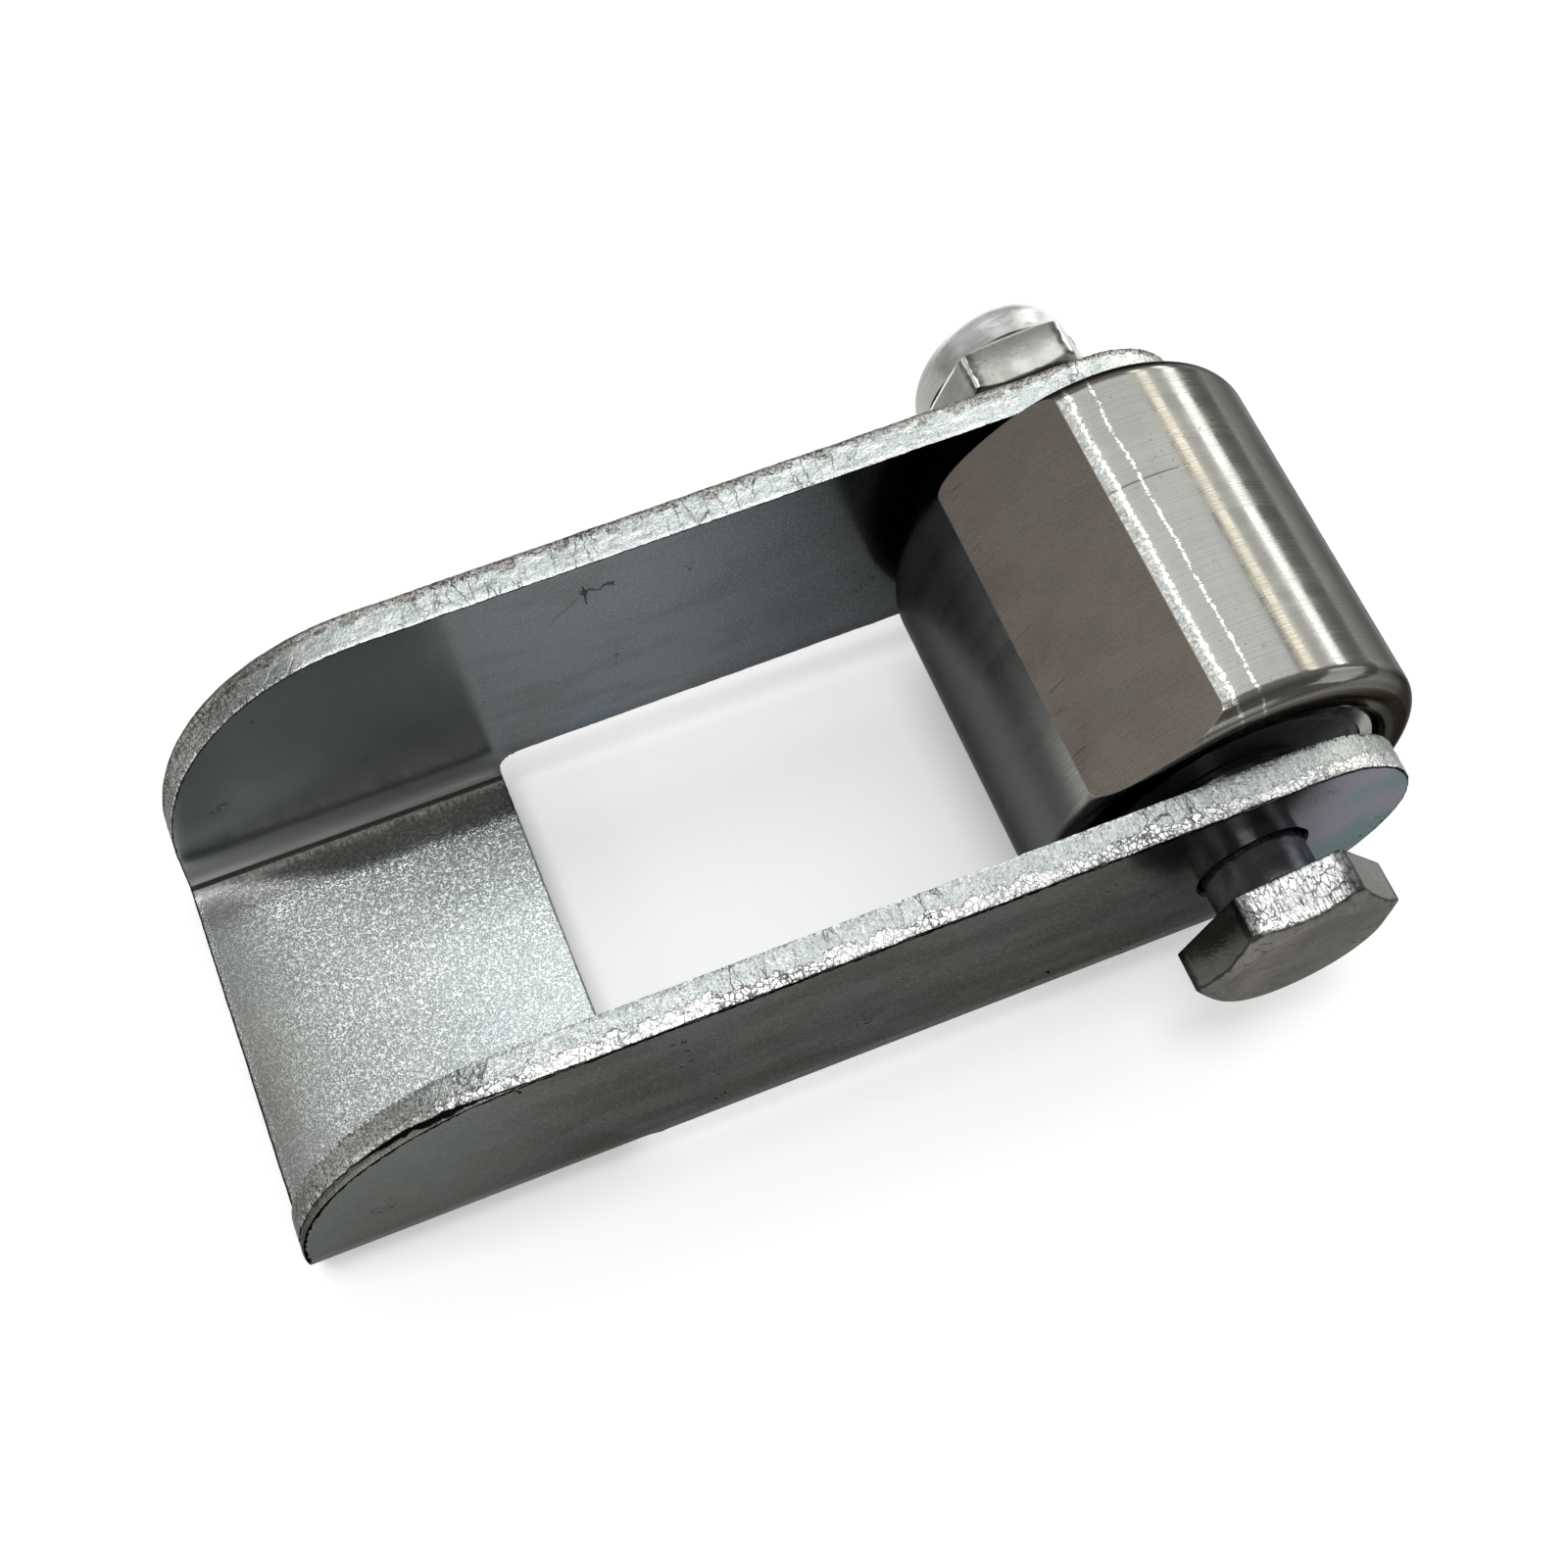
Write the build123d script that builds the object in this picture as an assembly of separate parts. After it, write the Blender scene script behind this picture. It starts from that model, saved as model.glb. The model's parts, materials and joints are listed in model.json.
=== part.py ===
# Gate hinge: a folded yoke carries a ball-bearing barrel on a loose bolt and lock nut.
# Millimetres. +Z is up, +X runs from the web towards the pivot, and the bolt lies along Y.
# The origin is the middle of the web's underside.
import os
from math import sqrt, radians, tan

from build123d import *

os.makedirs("parts", exist_ok=True)

# Yoke: one punched and folded sheet
sheet = 3.5
yoke_width = 48.0            # over the outer faces of the two arms
yoke_length = 110.5          # web end to the round end of the ears
arm_height = 28.0            # underside of the web to the top of the arms
web_length = 34.0
bend_radius = 2.0            # inside the folds
end_corner_radius = 26.5     # large top corner of each arm at the web end
arm_lower_edge = 4.0         # the window runs up past the fold to this height
window_corner_radius = 3.0
pivot_from_ear_end = 15.2    # the bolt's place follows the round end of the ears
pivot_height = 15.3
bolt_hole_diameter = 10.5

# Bolt, M10 with a plain shank under the head
bolt_diameter = 9.85
thread_diameter = 9.75
bolt_length = 65.0
thread_length = 26.0
bolt_end_chamfer = 1.0
hex_across_flats = 17.0
head_height = 5.6
head_face_diameter = 15.6    # the chamfer leaves this round face on the head
head_washer_height = 0.4
head_washer_diameter = 14.6
head_turn = 11.8             # degrees from +X to a corner of the head
head_standoff = 4.6          # the bolt is not drawn up, so its head stands off the near arm
chamfer_angle = 30.0

# Lock nut with a nylon ring in its collar
nut_height = 10.3
nut_hex_height = 5.3
nut_collar_diameter = 16.8
nut_collar_round = 2.6
nut_turn = 4.0
nut_standoff = 3.3           # from the far arm
nut_lip = 0.6                # rolled over the nylon ring
nut_face_step = 0.4          # the chamfer starts this far inside the flats
nut_corner_break = 0.5       # corners rounded off beside the collar
insert_height = 2.4
insert_outer_diameter = 13.0
thread_clearance = 0.05

# Barrel with one milled flat for welding
barrel_diameter = 37.4
barrel_length = 36.5
barrel_rim_radius = 2.0
barrel_shift = -0.4          # where the barrel stands between the arms, along Y
flat_width = 12.7
flat_turn = 124.3            # degrees from +X to the flat's normal
bearing_recess = 0.7         # bearing face below the barrel's end face
seat_chamfer = 0.4
shoulder_bore_diameter = 25.0

# Sealed ball bearings, 10 x 30 x 9
bearing_bore = 10.0
bearing_outer_diameter = 30.0
bearing_width = 9.0
ring_chamfer = 0.5
ball_diameter = 4.76
ball_pitch_diameter = 20.0
ball_count = 8
race_conformity = 0.52       # groove radius over ball diameter
ball_clearance = 0.03
inner_land_diameter = 16.8
outer_land_diameter = 23.4
seal_seat_diameter = 26.8
seal_seat_depth = 1.1
seal_thickness = 0.8
seal_lip_diameter = 15.2
seal_gap = 0.08
seal_bead = 0.8              # raised rim along both edges of the seal
seal_bead_slope = 0.3
seal_dish = 0.15
fit_clearance = 0.02

# Pressed two-piece ball cage
cage_sheet = 0.4
cage_band = 1.6
pocket_clearance = 0.1
rivet_diameter = 0.7
rivet_head_diameter = 1.2
rivet_head_height = 0.25

# Spacer between the inner rings
sleeve_bore = 10.2
sleeve_diameter = 14.0

# Places worked out from the sizes above
web_end_x = -web_length / 2
pivot_x = web_end_x + yoke_length - pivot_from_ear_end
outer_half = yoke_width / 2
inner_half = outer_half - sheet
head_face_y = -outer_half - head_standoff
nut_face_y = outer_half + nut_standoff
barrel_near_y = barrel_shift - barrel_length / 2
barrel_far_y = barrel_shift + barrel_length / 2
bearing_places = {"near": (barrel_near_y + bearing_recess, 1), "far": (barrel_far_y - bearing_recess, -1)}
at_pivot = Pos(pivot_x, 0, pivot_height)


def turned(*points):
    """A ring or disc turned about the Y axis, from (radius, y) corners."""
    face = make_face(Polyline(*points, close=True))
    return revolve(face, Axis.Y)


def turned_outline(*edges):
    """A ring turned about the Y axis, from edges that close an outline."""
    return revolve(make_face(edges), Axis.Y)


def bar(diameter, y_from, y_to):
    """A plain round bar on the Y axis."""
    return turned((0, y_from), (diameter / 2, y_from), (diameter / 2, y_to), (0, y_to))


def hexagon(across_flats, turn, y_from, y_to):
    """A six-sided bar on the Y axis with a corner at the angle turn from +X."""
    outline = RegularPolygon(across_flats / 2, 6, major_radius=False)
    first = outline.vertices().sort_by(Axis.X)[-1]
    lead = Vector(1, 0, 0).get_signed_angle(Vector(first.X, first.Y, 0))
    bar_along_z = extrude(Rot(0, 0, turn - lead) * outline, amount=y_to - y_from)
    # X and Z of the section stay X and Z of the part, and the bar runs towards +Y
    return Pos(0, y_to, 0) * Rot(90, 0, 0) * bar_along_z


def make_yoke():
    corner_x = web_end_x + web_length
    fillet_x = corner_x + window_corner_radius
    ear_radius = (arm_height - arm_lower_edge) / 2
    ear_x = web_end_x + yoke_length - ear_radius
    arc_top_x = web_end_x + end_corner_radius
    arc_low_z = arm_height - end_corner_radius

    # Side outline of the folded yoke, seen along Y
    diagonal = sqrt(0.5)
    outline = [
        Line((web_end_x, 0), (web_end_x, arc_low_z)),
        ThreePointArc(
            (web_end_x, arc_low_z),
            (arc_top_x - end_corner_radius * diagonal, arc_low_z + end_corner_radius * diagonal),
            (arc_top_x, arm_height),
        ),
        Line((arc_top_x, arm_height), (ear_x, arm_height)),
        ThreePointArc(
            (ear_x, arm_height),
            (ear_x + ear_radius, arm_height - ear_radius),
            (ear_x, arm_lower_edge),
        ),
        Line((ear_x, arm_lower_edge), (fillet_x, arm_lower_edge)),
        ThreePointArc(
            (fillet_x, arm_lower_edge),
            (fillet_x - window_corner_radius * diagonal, arm_lower_edge - window_corner_radius * (1 - diagonal)),
            (corner_x, arm_lower_edge - window_corner_radius),
        ),
        Line((corner_x, arm_lower_edge - window_corner_radius), (corner_x, 0)),
        Line((corner_x, 0), (web_end_x, 0)),
    ]
    side = extrude(Plane.XZ * make_face(outline), amount=yoke_width, both=True)

    # Folded section over the web, and straight arms beyond it
    section = Pos(0, arm_height / 2) * Rectangle(yoke_width, arm_height)
    section -= Pos(0, sheet + arm_height / 2) * Rectangle(2 * inner_half, arm_height)
    outer_corners = [v for v in section.vertices() if abs(v.Y) < 0.001]
    section = fillet(outer_corners, bend_radius + sheet)
    section = fillet([v for v in section.vertices() if abs(v.Y - sheet) < 0.001], bend_radius)
    folded = Pos(web_end_x, 0, 0) * extrude(Plane.YZ * section, amount=fillet_x - web_end_x)
    arm_run = web_end_x + yoke_length - fillet_x
    arm = Box(arm_run, sheet, arm_height, align=(Align.MIN, Align.MAX, Align.MIN))
    arms = Pos(fillet_x, outer_half, 0) * arm + Pos(fillet_x, -inner_half, 0) * arm
    yoke = (folded + arms) & side

    # Window cut out of the web, rounded where it runs up the folds
    window_half = inner_half + arm_lower_edge - sheet
    plan = Rectangle(yoke_length, 2 * window_half, align=(Align.MIN, Align.CENTER))
    plan = fillet(plan.vertices().group_by(Axis.X)[0], window_corner_radius)
    plan &= Rectangle(yoke_length, 2 * inner_half, align=(Align.MIN, Align.CENTER))
    yoke -= Pos(corner_x, 0, -sheet) * extrude(plan, amount=arm_height + 2 * sheet)
    return yoke - at_pivot * bar(bolt_hole_diameter, -yoke_width, yoke_width)


def make_bolt():
    corner_radius = hex_across_flats / sqrt(3)
    drop = (corner_radius - head_face_diameter / 2) * tan(radians(chamfer_angle))
    outer_y = head_face_y - head_height
    head = hexagon(hex_across_flats, head_turn, outer_y, head_face_y - head_washer_height)
    head &= turned(
        (0, outer_y),
        (head_face_diameter / 2, outer_y),
        (corner_radius, outer_y + drop),
        (corner_radius, head_face_y),
        (0, head_face_y),
    )
    washer_face = bar(head_washer_diameter, head_face_y - head_washer_height, head_face_y)
    tip_y = head_face_y + bolt_length
    thread_y = tip_y - thread_length
    shank = turned(
        (0, head_face_y),
        (bolt_diameter / 2, head_face_y),
        (bolt_diameter / 2, thread_y),
        (thread_diameter / 2, thread_y),
        (thread_diameter / 2, tip_y - bolt_end_chamfer),
        (thread_diameter / 2 - bolt_end_chamfer, tip_y),
        (0, tip_y),
    )
    return at_pivot * (head + washer_face + shank)


def make_nut():
    corner_radius = hex_across_flats / sqrt(3)
    collar = nut_collar_diameter / 2
    chamfer_start = hex_across_flats / 2 - nut_face_step
    drop = (corner_radius - chamfer_start) * tan(radians(chamfer_angle))
    near, far = nut_face_y, nut_face_y + nut_height
    hex_end = near + nut_hex_height
    bore = thread_diameter / 2 + thread_clearance
    hexed = hexagon(hex_across_flats, nut_turn, near, hex_end)
    hexed &= turned(
        (0, near), (chamfer_start, near), (corner_radius, near + drop),
        (corner_radius, hex_end - drop / 2), (corner_radius - nut_corner_break, hex_end), (0, hex_end),
    )
    diagonal = sqrt(0.5)
    round_y = far - nut_collar_round
    collar_body = turned_outline(
        Line((0, hex_end), (collar, hex_end)),
        Line((collar, hex_end), (collar, round_y)),
        ThreePointArc(
            (collar, round_y),
            (collar - nut_collar_round * (1 - diagonal), round_y + nut_collar_round * diagonal),
            (collar - nut_collar_round, far),
        ),
        Line((collar - nut_collar_round, far), (0, far)),
        Line((0, far), (0, hex_end)),
    )
    insert_far = far - nut_lip
    mouth = insert_outer_diameter / 2 - nut_lip
    nut = hexed + collar_body
    nut -= bar(2 * bore, near - 1, insert_far)
    nut -= bar(insert_outer_diameter, insert_far - insert_height, insert_far)
    nut -= bar(2 * mouth, insert_far - insert_height, far + 1)
    return at_pivot * nut


def make_nut_insert():
    insert_far = nut_face_y + nut_height - nut_lip
    ring = bar(insert_outer_diameter - 2 * fit_clearance, insert_far - insert_height, insert_far)
    return at_pivot * (ring - bar(thread_diameter + 2 * thread_clearance, nut_face_y, nut_face_y + nut_height))


def make_barrel():
    radius = barrel_diameter / 2
    blank = fillet(bar(barrel_diameter, barrel_near_y, barrel_far_y).edges(), barrel_rim_radius)
    flat_distance = sqrt(radius ** 2 - (flat_width / 2) ** 2)
    cutter = Box(radius, 2 * barrel_length, barrel_diameter, align=(Align.MIN, Align.CENTER, Align.CENTER))
    blank -= Rot(0, -flat_turn, 0) * Pos(flat_distance, 0, 0) * cutter
    blank -= bar(shoulder_bore_diameter, -barrel_length, barrel_length)
    seat = bearing_outer_diameter / 2 + fit_clearance
    for end_y, (face_y, inward) in zip((barrel_near_y, barrel_far_y), bearing_places.values()):
        deep_y = face_y + inward * bearing_width
        blank -= turned(
            (0, end_y - inward), (seat + seat_chamfer, end_y - inward), (seat + seat_chamfer, end_y),
            (seat, end_y + inward * seat_chamfer), (seat, deep_y), (0, deep_y),
        )
    return at_pivot * blank


def race_arc(centre_radius, groove_radius, land_radius, outward):
    """Ball groove between the two ends of a land, in the plane of the bearing's half section."""
    half = sqrt(groove_radius ** 2 - (land_radius - centre_radius) ** 2)
    bottom = centre_radius + outward * groove_radius
    return half, ThreePointArc((land_radius, half), (bottom, 0), (land_radius, -half))


def make_outer_ring():
    groove = race_conformity * ball_diameter
    centre = ball_pitch_diameter / 2 + ball_diameter / 2 + ball_clearance - groove
    land = outer_land_diameter / 2
    seat, rim = seal_seat_diameter / 2, bearing_outer_diameter / 2
    side, step = bearing_width / 2, bearing_width / 2 - seal_seat_depth
    half, arc = race_arc(centre, groove, land, 1)
    lower = Polyline((land, -half), (land, -step), (seat, -step), (seat, -side), (rim - ring_chamfer, -side),
                     (rim, -side + ring_chamfer), (rim, side - ring_chamfer), (rim - ring_chamfer, side),
                     (seat, side), (seat, step), (land, step), (land, half))
    return turned_outline(*lower.edges(), arc)


def make_inner_ring():
    groove = race_conformity * ball_diameter
    centre = ball_pitch_diameter / 2 - ball_diameter / 2 - ball_clearance + groove
    land, lip = inner_land_diameter / 2, seal_lip_diameter / 2
    bore, side = bearing_bore / 2, bearing_width / 2
    step = side - seal_seat_depth
    half, arc = race_arc(centre, groove, land, -1)
    lower = Polyline((land, -half), (land, -step), (lip, -step), (lip, -side), (bore + ring_chamfer, -side),
                     (bore, -side + ring_chamfer), (bore, side - ring_chamfer), (bore + ring_chamfer, side),
                     (lip, side), (lip, step), (land, step), (land, half))
    return turned_outline(*lower.edges(), arc)


def make_seal():
    """Seal ring whose outer side lies just below the bearing's face at y = 0."""
    seat = seal_seat_diameter / 2 - fit_clearance
    lip = seal_lip_diameter / 2 + seal_gap
    deep = seal_seat_depth - fit_clearance
    top = deep - seal_thickness
    dish = top + seal_dish
    return turned(
        (lip, deep), (lip, top), (lip + seal_bead, top), (lip + seal_bead + seal_bead_slope, dish),
        (seat - seal_bead - seal_bead_slope, dish), (seat - seal_bead, top), (seat, top), (seat, deep),
    )


def make_balls():
    balls = [
        Rot(0, 360 * i / ball_count, 0) * Pos(ball_pitch_diameter / 2, 0, 0) * Sphere(ball_diameter / 2)
        for i in range(ball_count)
    ]
    return Compound(balls)


def make_cage_half():
    """Half of the pressed cage, on the +Y side of the balls' plane."""
    pitch = ball_pitch_diameter / 2
    pocket = ball_diameter / 2 + pocket_clearance
    inner, outer = pitch - cage_band / 2, pitch + cage_band / 2
    depth = pocket + cage_sheet
    band = turned((inner, 0), (outer, 0), (outer, depth), (inner, depth))
    flange = turned((inner, 0), (outer, 0), (outer, cage_sheet), (inner, cage_sheet))
    half = flange
    for i in range(ball_count):
        turn = Rot(0, 360 * i / ball_count, 0) * Pos(pitch, 0, 0)
        half += (turn * Sphere(depth)) & band
    for i in range(ball_count):
        half -= Rot(0, 360 * i / ball_count, 0) * Pos(pitch, 0, 0) * Sphere(pocket)
        hole = bar(rivet_diameter + 2 * fit_clearance, -cage_sheet, depth)
        half -= Rot(0, 360 * (i + 0.5) / ball_count, 0) * Pos(pitch, 0, 0) * hole
    return half


def make_rivets():
    head, shank = rivet_head_diameter / 2, rivet_diameter / 2
    rivet = turned(
        (0, -cage_sheet - rivet_head_height), (head, -cage_sheet - rivet_head_height), (head, -cage_sheet),
        (shank, -cage_sheet), (shank, cage_sheet), (head, cage_sheet),
        (head, cage_sheet + rivet_head_height), (0, cage_sheet + rivet_head_height),
    )
    rivets = [
        Rot(0, 360 * (i + 0.5) / ball_count, 0) * Pos(ball_pitch_diameter / 2, 0, 0) * rivet
        for i in range(ball_count)
    ]
    return Compound(rivets)


def make_sleeve():
    near_face, far_face = (face + inward * bearing_width for face, inward in bearing_places.values())
    sleeve = bar(sleeve_diameter, near_face, far_face) - bar(sleeve_bore, near_face, far_face)
    return at_pivot * sleeve


def save(name, shape):
    export_step(shape, f"parts/{name}.step")


save("yoke", make_yoke())
save("bolt", make_bolt())
save("lock_nut", make_nut())
save("nut_insert", make_nut_insert())
save("barrel", make_barrel())
save("spacer_sleeve", make_sleeve())

outer_ring, inner_ring, seal = make_outer_ring(), make_inner_ring(), make_seal()
balls, cage_half, rivets = make_balls(), make_cage_half(), make_rivets()
for place, (face_y, inward) in bearing_places.items():
    middle = at_pivot * Pos(0, face_y + inward * bearing_width / 2, 0)
    outward_seal = Pos(0, face_y, 0) if inward > 0 else Pos(0, face_y, 0) * Rot(180, 0, 0)
    back_y = face_y + inward * bearing_width
    inward_seal = Pos(0, back_y, 0) * Rot(180, 0, 0) if inward > 0 else Pos(0, back_y, 0)
    save(f"{place}_outer_ring", middle * outer_ring)
    save(f"{place}_inner_ring", middle * inner_ring)
    save(f"{place}_outer_seal", at_pivot * outward_seal * seal)
    save(f"{place}_inner_seal", at_pivot * inward_seal * seal)
    save(f"{place}_balls", middle * balls)
    save(f"{place}_cage_left", middle * cage_half)
    save(f"{place}_cage_right", middle * Rot(180, 0, 0) * cage_half)
    save(f"{place}_cage_rivets", middle * rivets)
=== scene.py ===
# Zinc plated gate hinge: folded sheet, finishes, bolt, lock nut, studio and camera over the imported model
import json
import math
from functools import partial
import bpy
import bmesh
from mathutils import Matrix, Vector, noise

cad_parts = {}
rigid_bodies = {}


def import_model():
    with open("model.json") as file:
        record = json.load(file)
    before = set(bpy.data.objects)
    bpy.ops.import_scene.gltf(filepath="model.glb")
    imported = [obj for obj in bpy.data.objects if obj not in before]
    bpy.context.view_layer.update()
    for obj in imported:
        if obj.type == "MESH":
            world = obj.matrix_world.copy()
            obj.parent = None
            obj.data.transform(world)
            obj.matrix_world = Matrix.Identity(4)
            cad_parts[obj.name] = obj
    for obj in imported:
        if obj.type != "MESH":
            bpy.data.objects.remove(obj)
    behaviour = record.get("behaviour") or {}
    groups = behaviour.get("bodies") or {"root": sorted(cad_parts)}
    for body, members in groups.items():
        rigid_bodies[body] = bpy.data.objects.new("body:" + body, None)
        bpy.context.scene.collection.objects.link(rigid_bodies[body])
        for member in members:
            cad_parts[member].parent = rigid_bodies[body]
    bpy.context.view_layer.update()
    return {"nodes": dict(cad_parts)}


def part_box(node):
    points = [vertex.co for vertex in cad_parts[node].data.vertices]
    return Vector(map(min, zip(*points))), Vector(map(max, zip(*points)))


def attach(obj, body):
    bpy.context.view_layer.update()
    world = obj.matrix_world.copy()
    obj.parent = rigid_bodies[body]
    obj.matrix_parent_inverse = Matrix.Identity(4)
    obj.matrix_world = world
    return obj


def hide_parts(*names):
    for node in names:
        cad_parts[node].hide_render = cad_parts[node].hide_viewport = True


for leftOver in list(bpy.data.objects):
    bpy.data.objects.remove(leftOver)
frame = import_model()
mm = 0.001
print("frame loaded")

# where things are, in millimetres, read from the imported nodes
yokeLow, yokeHigh = (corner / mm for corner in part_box("yoke"))
barrelLow, barrelHigh = (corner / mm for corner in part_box("barrel"))
boltLow, boltHigh = (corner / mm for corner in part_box("bolt"))
nutLow, nutHigh = (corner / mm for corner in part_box("lock_nut"))
ringLow, ringHigh = (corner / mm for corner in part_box("near_outer_ring"))
barrelRadius = (barrelHigh.x - barrelLow.x) / 2
pivot = Vector(((barrelHigh.x + barrelLow.x) / 2, 0, (ringHigh.z + ringLow.z) / 2))

# Short names for the nodes that are added most, with the settings they take
nodeKinds = {"ramp": ("MapRange", {"interpolation_type": "SMOOTHSTEP"}),
             "blend": ("Mix", {"data_type": "RGBA"}), "plus": ("Math", {"operation": "ADD"}),
             "minus": ("Math", {"operation": "SUBTRACT"}),
             "times": ("Math", {"operation": "MULTIPLY"}),
             "larger": ("Math", {"operation": "MAXIMUM"}),
             "absolute": ("Math", {"operation": "ABSOLUTE"})}


def linear(hexCode):
    # sRGB hex to the linear colour that the shader takes
    parts = [int(hexCode[i:i + 2], 16) / 255 for i in (1, 3, 5)]
    return (*[p / 12.92 if p <= 0.04045 else ((p + 0.055) / 1.055) ** 2.4 for p in parts], 1.0)


def setInputs(node, values):
    # each value is another node's output, a hex colour or a plain value
    for name, value in values.items():
        socket = node.inputs[name]
        if isinstance(value, bpy.types.NodeSocket):
            node.id_data.links.new(value, socket)
        else:
            socket.default_value = linear(value) if isinstance(value, str) else value


def addNode(tree, kind, *values, output=None, **settings):
    # values fill the open inputs in turn, settings name other inputs and properties
    kind, usual = nodeKinds.get(kind, (kind, {}))
    node = tree.nodes.new("ShaderNode" + kind)
    settings = {**usual, **settings}
    for name in [name for name in settings if hasattr(node, name)]:
        setattr(node, name, settings.pop(name))
    openInputs = [i for i, socket in enumerate(node.inputs) if socket.enabled]
    setInputs(node, {**dict(zip(openInputs, values)), **settings})
    return node.outputs[output] if output else [socket for socket in node.outputs if socket.enabled][0]


def newMaterial(name, metallic, roughness=0.5):
    # the material, its shader, and addNode bound to its nodes
    material = bpy.data.materials.new(name)
    material.use_nodes = True
    shader = material.node_tree.nodes["Principled BSDF"]
    setInputs(shader, {"Metallic": metallic, "Roughness": roughness})
    return material, partial(addNode, material.node_tree), shader


def axisParts(add):
    # the position from the pivot in millimetres, beside the bolt's axis, along it and away from it
    place = add("VectorMath", add("TexCoord", output="Object"), operation="SCALE", Scale=1 / mm)
    centred = add("VectorMath", place, tuple(pivot), operation="SUBTRACT")
    side, along = [add("SeparateXYZ", centred, output=axis) for axis in "XY"]
    radial = add("VectorMath", centred, (1, 0, 1), operation="MULTIPLY")
    radial = add("VectorMath", radial, operation="LENGTH")
    return centred, side, along, radial


def finishPiece(name, bm, materials, body, replaced, keepSmooth=38):
    # millimetres to metres, edges sharper than keepSmooth degrees marked, then onto its body
    bmesh.ops.scale(bm, vec=(mm, mm, mm), verts=bm.verts)
    for face in bm.faces:
        face.smooth = True
    for edge in bm.edges:
        if len(edge.link_faces) == 2 and edge.calc_face_angle() > math.radians(keepSmooth):
            edge.smooth = False
    mesh = bpy.data.meshes.new(name)
    bm.to_mesh(mesh)
    bm.free()
    for material in materials:
        mesh.materials.append(material)
    piece = bpy.data.objects.new(name, mesh)
    bpy.context.scene.collection.objects.link(piece)
    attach(piece, body)
    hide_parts(replaced)
    return piece


# Yoke sheet: cut flat as a blank, given torn edges, then folded up like the real one
yokeSheet = {"sheet": 3.5, "bendRadius": 2.0, "webEnd": 17.0, "cornerRadius": 26.5, "windowRadius": 3.0,
             "lowerEdge": 4.0, "holeRadius": 5.25, "step": 0.26, "rows": 14, "bendCuts": 14, "relief": 0.6,
             "cornerGap": 0.002, "cutReach": 0.0001, "seed": 7.3, "tearDepth": 0.30,
             "tornGrains": ((2.6, 0.40), (0.7, 0.35), (0.33, 0.25)),
             "calmFrom": 14, "calmSpan": 18, "calmShare": 0.55,            # the big corner is torn less
             "tearPlace": 0.955, "tearDrop": 0.215, "dropFrom": 30, "dropSpan": 35, "tearSway": 0.09,
             "swaySize": 0.9, "lineDepth": 0.18, "lineHalf": 0.06,         # dark line, shares of the sheet
             "outerDraw": 0.12, "outerShare": 0.07, "innerDraw": 0.05, "innerShare": 0.06}


def blankTop():
    # half the blank's width: the web, the fold's neutral length and the arm
    y = yokeSheet
    flatHalf = yokeHigh.y - y["sheet"] - y["bendRadius"]
    fold = (y["bendRadius"] + y["sheet"] / 2) * math.pi / 2
    return flatHalf + fold + yokeHigh.z - y["sheet"] - y["bendRadius"]


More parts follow.
